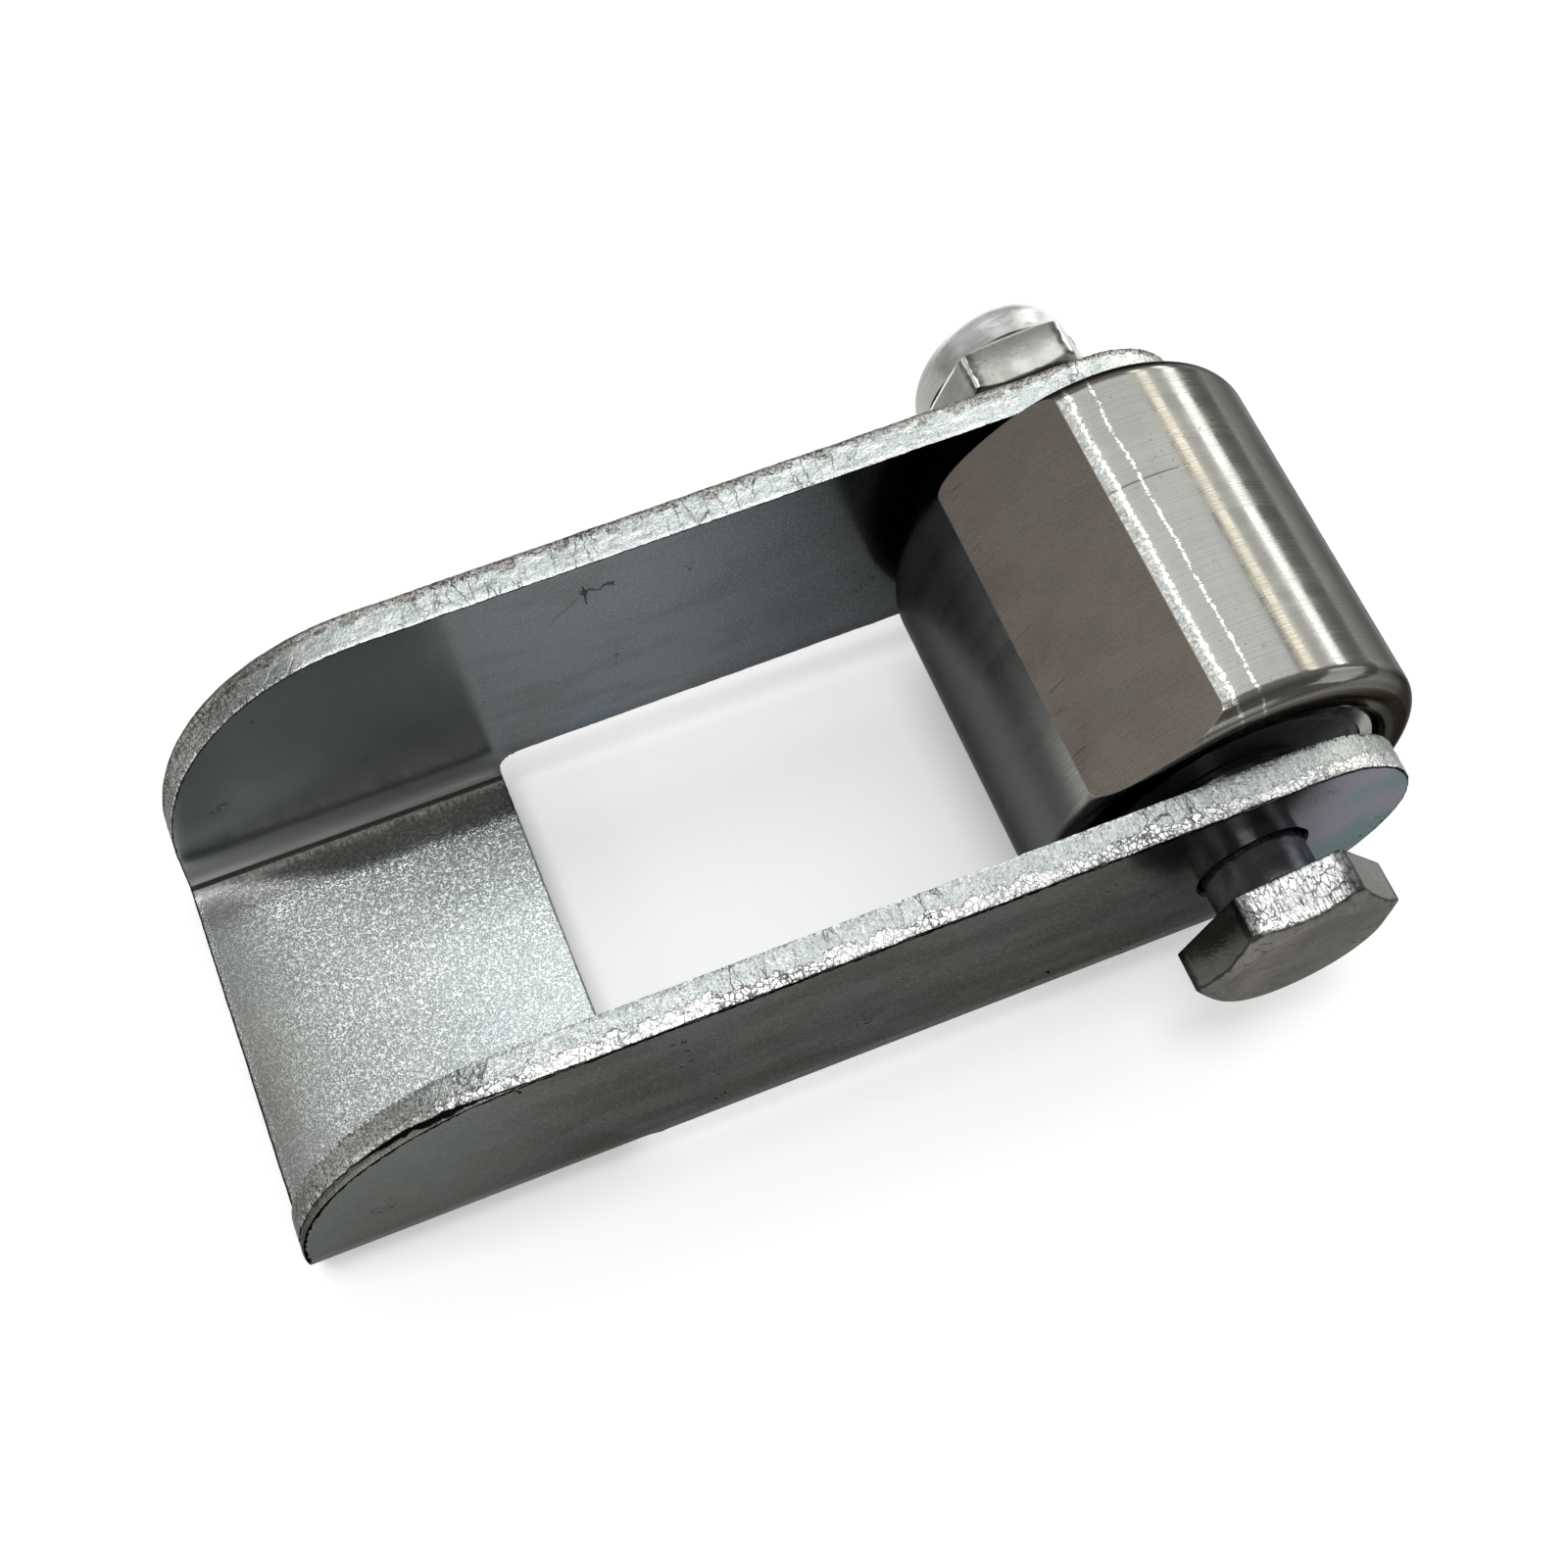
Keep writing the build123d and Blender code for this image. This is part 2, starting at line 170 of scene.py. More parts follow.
# Bright zinc plate on folded sheet: smooth on the arms, painted dark there as painted shade for the dark
# surroundings they mirror; a crystal grain on the web whose sparkle is painted highlight
zincSheet = {
    # grey and blue: the arms painted dark, as painted shade for the dark surroundings they mirror
    "grey": "#6E7274", "blue": "#6A717A", "wiped": "#5A5F5C", "farDark": "#46484A", "farPale": "#9EA4A2",
    "outside": "#767470", "outsideBlue": "#717372", "smear": "#55534F", "outsidePale": "#868A86",
    "violet": "#A39FAD", "teal": "#8C9DA0", "bend": "#6B6B67", "burr": "#1E1E1D", "scratch": "#1F2122",
    "web": "#9DA3A2", "webFar": "#9C9D98", "lilac": "#8A93A0", "webShade": "#838986", "webLift": "#C6D0CD",
    "foldEdge": "#7C7D7C", "foldBand": "#97928B", "shine": "#EDF1F1", "pit": "#3E4244", "crumb": "#FFFFFF",
    "cutEnd": "#2A2826",
    # grains: one over their size in millimetres, detail, roughness, then spacing and twist; and stretches
    "cloudGrain": (1 / 14.0, 2.0, 0.5), "patchGrain": (1 / 34.0, 1.0, 0.5), "spotGrain": (1 / 3.0, 2.0, 0.6),
    "wipedGrain": (1 / 3.0, 3.0, 0.6), "wipedStretch": (0.2, 1, 0.8), "smearGrain": (1 / 2.2, 3.0, 0.6),
    "smearStretch": (0.15, 1, 0.6), "earGrain": (1 / 8.0, 2.0, 0.5),
    "coarseGrain": (1 / 0.32, 1.5, 0.6, 2.0, 1.1), "fineGrain": (1 / 0.17, 2.0, 0.7, 2.0, 0.4),
    "dashGrain": (1 / 0.42, 1.0, 0.5), "dashStretch": (1, 0.25, 1), "raggedGrain": (1 / 1.2, 2.0, 0.6),
    "scuffGrain": (1 / 0.35, 2.0), "scuffPlaceGrain": (1 / 5.0, 1.0), "wanderGrain": (1 / 0.9, 3.0, 0.7),
    # ramps along the hinge's X, from one place in millimetres to another, then the share at each
    "farDarker": (32, 58, 0.0, 0.75), "farPaler": (19, 15, 0.0, 0.9), "outerPaler": (18, -4, 0.0, 0.7),
    "earStart": (74, 88), "burrAlong": (66, 80, 1.0, 0.35), "hairFrom": (24.3, 27.3), "hairTo": (29.2, 29.0),
    # ramps along the hinge's Y
    "onFar": (18, 20), "farInside": (19, 20), "hairShare": (19, 20, 0.0, 0.6),
    # ramps along the blank
    "quietEnd": (-16.5, -8, 0.30, 1.0), "webFarShare": (12, -14), "liftAlong": (-4, 16, 0.0, 0.55),
    "foldStart": (2, -17, 9.8, 13.6), "freeEnd": (-16.72, -16.9), "windowEnd": (16.74, 16.92),
    "crumbRow": (-16.1, -16.5),
    # ramps across the blank, by side or from its middle either way
    "nearFold": (13.4, 15.4, 1.0, 0.5), "webDarker": (1, 9, 0.0, 0.55), "liftAcross": (6, -8),
    "foldStep": (-0.5, 0.9), "foldShare": (12.0, 14.6), "onWeb": (19.3, 18.3), "bendIn": (18.0, 18.8),
    "bendOut": (24.0, 21.5, 0.0, 0.75), "markIn": (17.2, 17.5), "markOut": (18.3, 18.0),
    "roughBendIn": (16.8, 18.4), "roughBendOut": (25.5, 23.5, 0.0, 0.34),
    # ramps through the sheet, and on the distance from a cut edge or a scratch
    "outerSide": (3.3, 3.45), "innerSide": (0.3, 0.1), "burrThrough": (0.0, 3.5, 0.135, 0.30),
    "burrEdge": (0.1, 0.0, 0.0, 0.9), "scribbleWidth": (0.20, 0.09), "scribbleLength": (1.8, 1.5),
    "tickWidth": (0.12, 0.05), "tickHeight": (1.4, 1.2), "hairWidth": (0.12, 0.03),
    # ramps on a grain or on another share
    "offWeb": (0.9, 0.1), "blueShare": (0.4, 0.62), "wipedShare": (0.46, 0.64, 0.0, 0.42),
    "outerBlue": (0.38, 0.62), "smearShare": (0.35, 0.65, 0.35, 0.0), "earShare": (0.4, 0.6, 0.2, 0.8),
    "earHue": (0.42, 0.62), "ridge": (0.53, 0.60), "hollow": (0.035, 0.0), "glint": (0.55, 0.63),
    "drift": (0.3, 0.7, 0.75, 1.0), "lilacShare": (0.42, 0.60, 0.0, 0.18), "speckShare": (0.45, 0.36),
    "crumbShare": (0.55, 0.62), "glintOffWeb": (0, 1, 0.12, 0.0), "markShare": (0.50, 0.58),
    "raggedShare": (0.3, 0.7, 0.35, 1.25), "scuffShare": (0.60, 0.66), "scuffPlaces": (0.66, 0.72),
    "scratchOffWeb": (0, 1, 0.8, 0.1), "roughOnWeb": (0, 1, 0.19, 0.15),
    "roughCloud": (0.3, 0.7, -0.03, 0.05),
    # places in millimetres, strengths and heights
    "scribblePlace": (31.2, 24.3), "scribbleWander": 2.6, "tickPlace": (29.9, 23.9),
    "hairStart": (24.3, 20.4), "hairSlope": 0.7, "hollowAt": 0.47, "pitStrength": 0.66, "shineStrength": 0.85,
    "cutStrength": 0.85, "markStrength": 0.5, "fineHeight": 0.5, "webHeight": 0.6, "armHeight": 0.06,
    "riseStart": 5, "riseRound": 1.6, "dish": 0.233, "bumpDepth": 0.035, "edgeTint": "#898989"}


def outlineDistance(add, blankX, across):
    # millimetres from the blank's cut outline, over its long side, its big corner and its ear
    y = yokeSheet
    top = blankTop()
    earRadius = (yokeHigh.z - y["lowerEdge"]) / 2
    intoX = add("minus", yokeLow.x + y["cornerRadius"], blankX)
    intoS = add("minus", across, top - y["cornerRadius"])
    intoX = add("larger", intoX, 0.0)
    intoS = add("larger", intoS, 0.0)
    corner = add("VectorMath", add("CombineXYZ", intoX, intoS), operation="LENGTH")
    earX = add("minus", blankX, yokeHigh.x - earRadius)
    earS = add("minus", across, top - earRadius)
    ear = add("VectorMath", add("CombineXYZ", earX, earS), operation="LENGTH")
    onEar = add("Math", earX, 0.0, operation="GREATER_THAN")
    fromCorner = add("minus", y["cornerRadius"], corner)
    fromEar = add("minus", earRadius, ear)
    return add("Mix", onEar, fromCorner, fromEar)


def armTone(add, place, outside, cloud, patch):
    # arms: grey with blue clouds and wiped streaks, browner outside, a violet and teal film on the ears;
    # their grey and blue are painted dark, as painted shade for the dark surroundings the arms mirror
    z = zincSheet
    placeX = add("SeparateXYZ", place, output="X")
    placeY = add("SeparateXYZ", place, output="Y")
    tone = add("blend", add("ramp", cloud, *z["blueShare"]), z["grey"], z["blue"])
    wiped = add("TexNoise", add("Mapping", place, Scale=z["wipedStretch"]), *z["wipedGrain"])
    tone = add("blend", add("ramp", wiped, *z["wipedShare"]), tone, z["wiped"])
    # painted shade: the far arm darker towards the barrel; painted reflection: the far arm paler along its
    # left part, beside the web
    onFar = add("ramp", placeY, *z["onFar"])
    darker = add("times", onFar, add("ramp", placeX, *z["farDarker"]))
    tone = add("blend", darker, tone, z["farDark"])
    paler = add("times", onFar, add("ramp", placeX, *z["farPaler"]))
    tone = add("blend", paler, tone, z["farPale"])
    outer = add("blend", add("ramp", cloud, *z["outerBlue"]), z["outside"], z["outsideBlue"])
    smears = add("TexNoise", add("Mapping", place, Scale=z["smearStretch"]), *z["smearGrain"])
    outer = add("blend", add("ramp", smears, *z["smearShare"]), outer, z["smear"])
    tone = add("blend", outside, tone, outer)
    # painted reflection: the outer face paler towards its left end
    outerPaler = add("times", outside, add("ramp", placeX, *z["outerPaler"]))
    tone = add("blend", outerPaler, tone, z["outsidePale"])
    onEar = add("ramp", placeX, *z["earStart"])
    film = add("times", onEar, add("ramp", patch, *z["earShare"]))
    hue = add("ramp", add("TexNoise", place, *z["earGrain"]), *z["earHue"])
    return add("blend", film, tone, add("blend", hue, z["violet"], z["teal"]))


def webTone(add, blankX, blankS, patch, coarse, fine, glint, lively, limit):
    # web: fine curly ridges, painted bright on one side and dark on the other as painted highlight and
    # painted shade on their relief, and a brownish band by the far fold painted as a dark reflection
    z = zincSheet
    tone = add("blend", add("ramp", blankX, *z["webFarShare"]), z["web"], z["webFar"])
    tone = add("blend", add("ramp", patch, *z["lilacShare"]), tone, z["lilac"])
    tone = add("blend", add("ramp", blankS, *z["webDarker"]), tone, z["webShade"])
    # paler towards the window on the near side
    lift = add("times", add("ramp", blankX, *z["liftAlong"]), add("ramp", blankS, *z["liftAcross"]))
    tone = add("blend", lift, tone, z["webLift"])
    # painted reflection: a dark brownish band by the far fold, darker at its near edge
    past = add("minus", blankS, z["riseStart"])
    past = add("minus", past, limit)
    foldTone = add("blend", add("ramp", past, *z["foldStep"]), z["foldEdge"], z["foldBand"])
    tone = add("blend", add("ramp", blankS, *z["foldShare"]), tone, foldTone)
    # painted shade in the grain's hollows, partly real dark pits, and painted highlight on its ridges and
    # glints
    hollow = add("absolute", add("minus", coarse, z["hollowAt"]))
    pits = add("larger", add("ramp", hollow, *z["hollow"]), add("ramp", fine, *z["speckShare"]))
    pits = add("times", pits, add("times", lively, z["pitStrength"]))
    tone = add("blend", pits, tone, z["pit"])
    shine = add("larger", add("ramp", coarse, *z["ridge"]), glint)
    shine = add("times", shine, add("times", lively, z["shineStrength"]))
    tone = add("blend", shine, tone, z["shine"])
    # thin dark line and bright crumbs where the web was cut
    ends = add("larger", add("ramp", blankX, *z["freeEnd"]), add("ramp", blankX, *z["windowEnd"]))
    crumbs = add("times", add("ramp", blankX, *z["crumbRow"]), add("ramp", fine, *z["crumbShare"]))
    tone = add("blend", crumbs, tone, z["crumb"])
    return add("blend", add("times", ends, z["cutStrength"]), tone, z["cutEnd"])


def armScratches(add, place, inner):
    # a short wandering scratch with a tick and a hairline high on the far arm, and scuffs here and there
    z = zincSheet
    placeX, placeY, placeZ = [add("SeparateXYZ", place, output=axis) for axis in "XYZ"]
    scuffs = add("ramp", add("TexNoise", place, *z["scuffGrain"]), *z["scuffShare"])
    scuffPlaces = add("ramp", add("TexNoise", place, *z["scuffPlaceGrain"]), *z["scuffPlaces"])
    scuffs = add("times", scuffs, scuffPlaces)
    sway = add("times", add("TexNoise", place, *z["wanderGrain"]), z["scribbleWander"])
    wander = add("minus", placeZ, sway)
    scribbleX, scribbleZ = z["scribblePlace"]
    wander = add("minus", wander, scribbleZ - z["scribbleWander"] / 2)
    wander = add("ramp", add("absolute", wander), *z["scribbleWidth"])
    along = add("absolute", add("minus", placeX, scribbleX))
    scribble = add("times", wander, add("ramp", along, *z["scribbleLength"]))
    asideX = add("absolute", add("minus", placeX, z["tickPlace"][0]))
    asideZ = add("absolute", add("minus", placeZ, z["tickPlace"][1]))
    tick = add("times", add("ramp", asideX, *z["tickWidth"]), add("ramp", asideZ, *z["tickHeight"]))
    scribble = add("larger", scribble, tick)
    onFarArm = add("times", inner, add("ramp", placeY, *z["farInside"]))
    scribble = add("times", scribble, onFarArm)
    climb = add("minus", placeX, z["hairStart"][0])
    slant = add("minus", placeZ, add("times", climb, z["hairSlope"]))
    slant = add("absolute", add("minus", slant, z["hairStart"][1]))
    reach = add("times", add("ramp", placeX, *z["hairFrom"]), add("ramp", placeX, *z["hairTo"]))
    hair = add("times", add("ramp", slant, *z["hairWidth"]), reach)
    hairArm = add("times", inner, add("ramp", placeY, *z["hairShare"]))
    hair = add("times", hair, hairArm)
    return add("larger", add("larger", scribble, hair), scuffs)


def makeZincSheet():
    # zinc: metallic 1, typical roughness 0.15 to 0.4
    material, add, shader = newMaterial("bright_zinc_plated_sheet", 1.0)
    z = zincSheet
    place = add("VectorMath", add("TexCoord", output="Object"), operation="SCALE", Scale=1 / mm)
    placeX = add("SeparateXYZ", place, output="X")
    blank = add("Attribute", attribute_name="flatPlace", output="Vector")
    blankX, blankS, through = [add("SeparateXYZ", blank, output=axis) for axis in "XYZ"]
    across = add("absolute", blankS)
    onWeb = add("ramp", across, *z["onWeb"])
    inner = add("ramp", through, *z["innerSide"])
    outside = add("times", add("ramp", through, *z["outerSide"]), add("ramp", onWeb, *z["offWeb"]))
    cloud = add("TexNoise", place, *z["cloudGrain"])
    patch = add("TexNoise", place, *z["patchGrain"])
    coarse = add("TexNoise", blank, *z["coarseGrain"])
    fine = add("TexNoise", blank, *z["fineGrain"])
    glint = add("ramp", fine, *z["glint"])
    # the grain is livelier in patches, and calm at the free end and by the far fold
    drift = add("ramp", add("TexNoise", place, *z["spotGrain"]), *z["drift"])
    lively = add("times", drift, add("ramp", blankS, *z["nearFold"]))
    lively = add("times", lively, add("ramp", blankX, *z["quietEnd"]))
    limit = add("ramp", blankX, *z["foldStart"])
    web = webTone(add, blankX, blankS, patch, coarse, fine, glint, lively, limit)
    colour = add("blend", onWeb, armTone(add, place, outside, cloud, patch), web)
    # faint grain everywhere else
    faint = add("times", glint, add("ramp", onWeb, *z["glintOffWeb"]))
    colour = add("blend", faint, colour, z["shine"])
    # the fold is painted duller: painted shade that dims the highlight line on its crease
    bent = add("times", add("ramp", across, *z["bendIn"]), add("ramp", across, *z["bendOut"]))
    colour = add("blend", bent, colour, z["bend"])
    # press brake marks: small dark dashes along each fold on the inner side
    fold = add("times", add("ramp", across, *z["markIn"]), add("ramp", across, *z["markOut"]))
    dashes = add("TexNoise", add("Mapping", blank, Scale=z["dashStretch"]), *z["dashGrain"])
    marks = add("times", fold, add("ramp", dashes, *z["markShare"]))
    marks = add("times", marks, add("times", inner, z["markStrength"]))
    colour = add("blend", marks, colour, z["pit"])
    # burr shadow along the cut outline, thickest on the outer side
    ragged = add("ramp", add("TexNoise", blank, *z["raggedGrain"]), *z["raggedShare"])
    ragged = add("times", ragged, add("ramp", through, *z["burrThrough"]))
    ragged = add("times", ragged, add("ramp", placeX, *z["burrAlong"]))
    inward = add("minus", outlineDistance(add, blankX, across), ragged)
    colour = add("blend", add("ramp", inward, *z["burrEdge"]), colour, z["burr"])
    scratches = add("times", armScratches(add, place, inner), add("ramp", onWeb, *z["scratchOffWeb"]))
    colour = add("blend", scratches, colour, z["scratch"])
    bend = add("times", add("ramp", across, *z["roughBendIn"]), add("ramp", across, *z["roughBendOut"]))
    rough = add("plus", add("ramp", onWeb, *z["roughOnWeb"]), bend)
    rough = add("plus", rough, add("ramp", cloud, *z["roughCloud"]))
    grains = add("plus", coarse, add("times", fine, z["fineHeight"]))
    depth = add("times", onWeb, add("times", lively, z["webHeight"]))
    depth = add("larger", depth, z["armHeight"])
    height = add("times", grains, depth)
    # the web rises a little towards the far fold, as folded sheet does
    rise = add("larger", add("minus", blankS, z["riseStart"]), 0.0)
    rise = add("Math", rise, limit, z["riseRound"], operation="SMOOTH_MIN")
    dish = add("times", add("times", rise, rise), add("times", onWeb, z["dish"]))
    height = add("plus", height, dish)
    setInputs(shader, {"Base Color": colour, "Roughness": rough, "Specular Tint": z["edgeTint"],
                       "Normal": add("Bump", Distance=z["bumpDepth"] * mm, Height=height)})
    return material


# Sheared edge under the same plate: a burnished part with fine lines, then torn and crackled
shearedEdge = {
    "burnish": "#B4BBB7", "burnishFar": "#CBD4D1", "torn": "#F4F5F3", "tornFar": "#B5AFA8",
    "brown": "#65605A", "crack": "#2C2C2A", "strip": "#62635F", "line": "#121211",
    # grains as in zincSheet, and the sizes of the cells between cracks, in millimetres
    "wobbleGrain": (1 / 1.6, 3.0, 0.6), "streakGrain": (1 / 0.22, 2.0, 0.6), "streakStretch": (1, 1, 0.12),
    "crumbGrain": (1 / 0.24, 2.0, 0.65), "zoneGrain": (1 / 6.0, 2.0, 0.5), "swayGrain": (1 / 0.7, 2.0),
    "swayReach": 0.7, "farStreakGrain": (1 / 1.1, 3.0, 0.65), "farStreakStretch": (0.35, 0.35, 1.4),
    "crackSize": 1.5, "crackStretch": (1, 1, 0.22), "fineCrackSize": 0.62,
    # ramps in millimetres on the blank, then on shares of the thickness
    "farSide": (-1, 1), "cornerSpan": (9, -5), "tearLine": (-9, 13, 0.74, 0.985), "thickFrom": (-7, -1),
    "thickTo": (8, 2), "tornEdge": (-0.015, 0.015), "borderLine": (0.03, 0.0), "rolledEdge": (0.10, 0.04),
    "lineEdge": (0.025, 0.0), "stripEdge": (0.0, 0.03, 0.0, 0.9),
    # ramps on a grain, a crack's distance or another share
    "crackWidth": (0.03, 0.006), "crackShare": (0.48, 0.62, 0.0, 0.65),
    "fineCrackWidth": (0.13, 0.04, 0.0, 0.85), "fineCrackShare": (0.35, 0.6, 0.5, 1.0),
    "border": (0, 1, 0.60, 0.74), "streakLight": (0.46, 0.66, 0.0, 0.30),
    "crumbLight": (0.52, 0.66, 0.0, 0.45), "streakBrown": (0.42, 0.28, 0.0, 0.28),
    "crumbBrown": (0.42, 0.33, 0.0, 0.45), "crumbBrownFar": (0, 1, 1.0, 0.4),
    "tornPits": (0.40, 0.32, 0.0, 0.7), "tornPitsFar": (0, 1, 1.0, 0.5),
    "tornFarLight": (0.48, 0.6, 0.0, 0.7), "farStreakShare": (0.50, 0.60, 0.0, 0.8),
    "cornerBrown": (0.35, 0.62, 0.95, 0.45), "rolledCrumbs": (0.5, 0.62), "thickness": (0.3, 0.7, 0.02, 0.10),
    "nearOnly": (0, 1, 1.0, 0.25), "roughness": (0.3, 0.7, 0.20, 0.36),
    # strengths and heights
    "borderSway": 0.95, "borderStrength": 0.35, "tearSway": 0.10, "thinLine": 0.008, "lineRough": 0.3,
    "streakHeight": 0.5, "wobbleHeight": 1.5, "crackHeight": 1.2, "bumpDepth": 0.07}


def edgeTone(add, farSide, streaks, crumbs, zones, fineCracks, farStreaks):
    # the burnished part and the torn part, each with its own light and dark
    e = shearedEdge
    burnish = add("blend", farSide, e["burnish"], e["burnishFar"])
    burnish = add("blend", add("ramp", streaks, *e["streakLight"]), burnish, e["torn"])
    burnish = add("blend", add("ramp", crumbs, *e["crumbLight"]), burnish, e["torn"])
    burnish = add("blend", add("ramp", streaks, *e["streakBrown"]), burnish, e["brown"])
    brown = add("times", add("ramp", crumbs, *e["crumbBrown"]), add("ramp", farSide, *e["crumbBrownFar"]))
    burnish = add("blend", brown, burnish, e["brown"])
    burnish = add("blend", farStreaks, burnish, e["torn"])
    torn = add("blend", farSide, e["torn"], e["tornFar"])
    pits = add("times", add("ramp", crumbs, *e["tornPits"]), add("ramp", farSide, *e["tornPitsFar"]))
    torn = add("blend", pits, torn, e["crack"])
    torn = add("blend", add("times", fineCracks, add("ramp", zones, *e["fineCrackShare"])), torn, e["crack"])
    light = add("times", farSide, add("ramp", crumbs, *e["tornFarLight"]))
    return burnish, add("blend", light, torn, e["burnishFar"])


def makeShearedEdge():
    # the same zinc, rougher where the sheet tore
    material, add, shader = newMaterial("sheared_zinc_plated_edge", 1.0)
    e = shearedEdge
    blank = add("Attribute", attribute_name="flatPlace", output="Vector")
    blankX, blankS, depth = [add("SeparateXYZ", blank, output=axis) for axis in "XYZ"]
    # 0 on the inner face, 1 on the outer
    through = add("Math", depth, yokeSheet["sheet"], operation="DIVIDE")
    farSide = add("ramp", blankS, *e["farSide"])
    wobble = add("TexNoise", blank, *e["wobbleGrain"])
    streaks = add("TexNoise", add("Mapping", blank, Scale=e["streakStretch"]), *e["streakGrain"])
    crumbs = add("TexNoise", blank, *e["crumbGrain"])
    zones = add("TexNoise", blank, *e["zoneGrain"])
    sway = add("TexNoise", blank, *e["swayGrain"], output="Color")
    sway = add("VectorMath", sway, operation="SCALE", Scale=e["swayReach"])
    swayed = add("VectorMath", blank, sway, operation="ADD")
    cracks = add("TexVoronoi", add("Mapping", swayed, Scale=e["crackStretch"]), 1 / e["crackSize"],
                 feature="DISTANCE_TO_EDGE")
    cracks = add("times", add("ramp", cracks, *e["crackWidth"]), add("ramp", zones, *e["crackShare"]))
    fineCracks = add("TexVoronoi", swayed, 1 / e["fineCrackSize"], feature="DISTANCE_TO_EDGE")
    fineCracks = add("ramp", fineCracks, *e["fineCrackWidth"])
    farStreaks = add("TexNoise", add("Mapping", swayed, Scale=e["farStreakStretch"]), *e["farStreakGrain"])
    farStreaks = add("times", farSide, add("ramp", farStreaks, *e["farStreakShare"]))
    # where the burnished part ends and the tear starts
    middle = add("minus", wobble, 0.5)
    past = add("plus", through, add("times", middle, e["borderSway"]))
    past = add("minus", past, add("ramp", farSide, *e["border"]))
    isTorn = add("ramp", past, *e["tornEdge"])
    burnish, torn = edgeTone(add, farSide, streaks, crumbs, zones, fineCracks, farStreaks)
    colour = add("blend", isTorn, burnish, torn)
    border = add("ramp", add("absolute", past), *e["borderLine"])
    colour = add("blend", add("times", border, e["borderStrength"]), colour, e["crack"])
    brown = add("times", add("ramp", blankX, *e["cornerSpan"]), add("ramp", crumbs, *e["cornerBrown"]))
    colour = add("blend", brown, colour, e["brown"])
    colour = add("blend", cracks, colour, e["crack"])
    # bright crumbs where the inner edge was rolled over
    rolled = add("times", add("ramp", through, *e["rolledEdge"]), add("ramp", crumbs, *e["rolledCrumbs"]))
    colour = add("blend", rolled, colour, e["torn"])
    # the ragged dark line, nearer the outer face along the straight, and the smooth strip beyond it
    off = add("minus", through, add("ramp", blankX, *e["tearLine"]))
    off = add("minus", off, add("times", middle, e["tearSway"]))
    thick = add("times", add("ramp", blankX, *e["thickFrom"]), add("ramp", blankX, *e["thickTo"]))
    width = add("times", thick, add("ramp", wobble, *e["thickness"]))
    width = add("plus", e["thinLine"], width)
    nearOnly = add("ramp", farSide, *e["nearOnly"])
    line = add("minus", add("absolute", off), width)
    line = add("times", add("ramp", line, *e["lineEdge"]), nearOnly)
    strip = add("times", add("ramp", off, *e["stripEdge"]), nearOnly)
    colour = add("blend", strip, colour, e["strip"])
    colour = add("blend", line, colour, e["line"])
    rough = add("plus", add("ramp", crumbs, *e["roughness"]), add("times", line, e["lineRough"]))
    tornHeight = add("plus", crumbs, add("times", wobble, e["wobbleHeight"]))
    smoothHeight = add("plus", add("times", streaks, e["streakHeight"]), crumbs)
    height = add("Mix", isTorn, smoothHeight, tornHeight)
    height = add("minus", height, add("times", cracks, e["crackHeight"]))
    setInputs(shader, {"Base Color": colour, "Roughness": rough,
                       "Specular Tint": zincSheet["edgeTint"],
                       "Normal": add("Bump", Distance=e["bumpDepth"] * mm, Height=height)})
    return material


def foldedPlace(x, s, t):
    # x along the blank, s across it from the middle, t down from the inner side to the outer
    y = yokeSheet
    webHalf = yokeHigh.y - y["sheet"] - y["bendRadius"]
    bendLength = (y["bendRadius"] + y["sheet"] / 2) * math.pi / 2
    side = 1 if s >= 0 else -1
    past = abs(s) - webHalf
    if past <= 0:
        return Vector((x, s, y["sheet"] - t))
    turn = min(past / bendLength, 1.0) * math.pi / 2
    radius = y["bendRadius"] + t
    foldZ = y["sheet"] + y["bendRadius"]
    rise = past - bendLength
    bentZ = foldZ - radius * math.cos(turn) + max(rise, 0)
    bent = Vector((x, side * (webHalf + radius * math.sin(turn)), bentZ))
    straight = Vector((x, side * (webHalf + radius), foldZ + rise))
    share = min(max((x - y["webEnd"] + y["relief"]) / (y["windowRadius"] + y["relief"]), 0), 1)
    return bent.lerp(straight, share * share * (3 - 2 * share))


def tornDepth(x, s, t):
    # how far the torn edge lies inside the blank's true outline
    y = yokeSheet
    p = Vector((x, s, t)) + Vector((y["seed"], 2 * y["seed"], 3 * y["seed"]))
    through = t / y["sheet"]
    # waves, chips and crumbs, each with its size and share
    grains = [share * (noise.noise(p / size) * 0.5 + 0.5) for size, share in y["tornGrains"]]
    depth = y["tearDepth"] * sum(grains)
    corner = min(max((y["calmFrom"] - x) / y["calmSpan"], 0), 1)
    depth *= 1 - y["calmShare"] * corner
    drop = min(max((y["dropFrom"] - x) / y["dropSpan"], 0), 1)
    tearLine = y["tearPlace"] - y["tearDrop"] * drop + y["tearSway"] * noise.noise(p / y["swaySize"])
    if abs(through - tearLine) < y["lineHalf"]:
        depth += y["lineDepth"] * corner
    # both sides are drawn in a little by the punch
    depth += y["outerDraw"] * max(0, (through - 1 + y["outerShare"]) / y["outerShare"]) ** 2
    depth += y["innerDraw"] * max(0, (y["innerShare"] - through) / y["innerShare"]) ** 2
    return depth


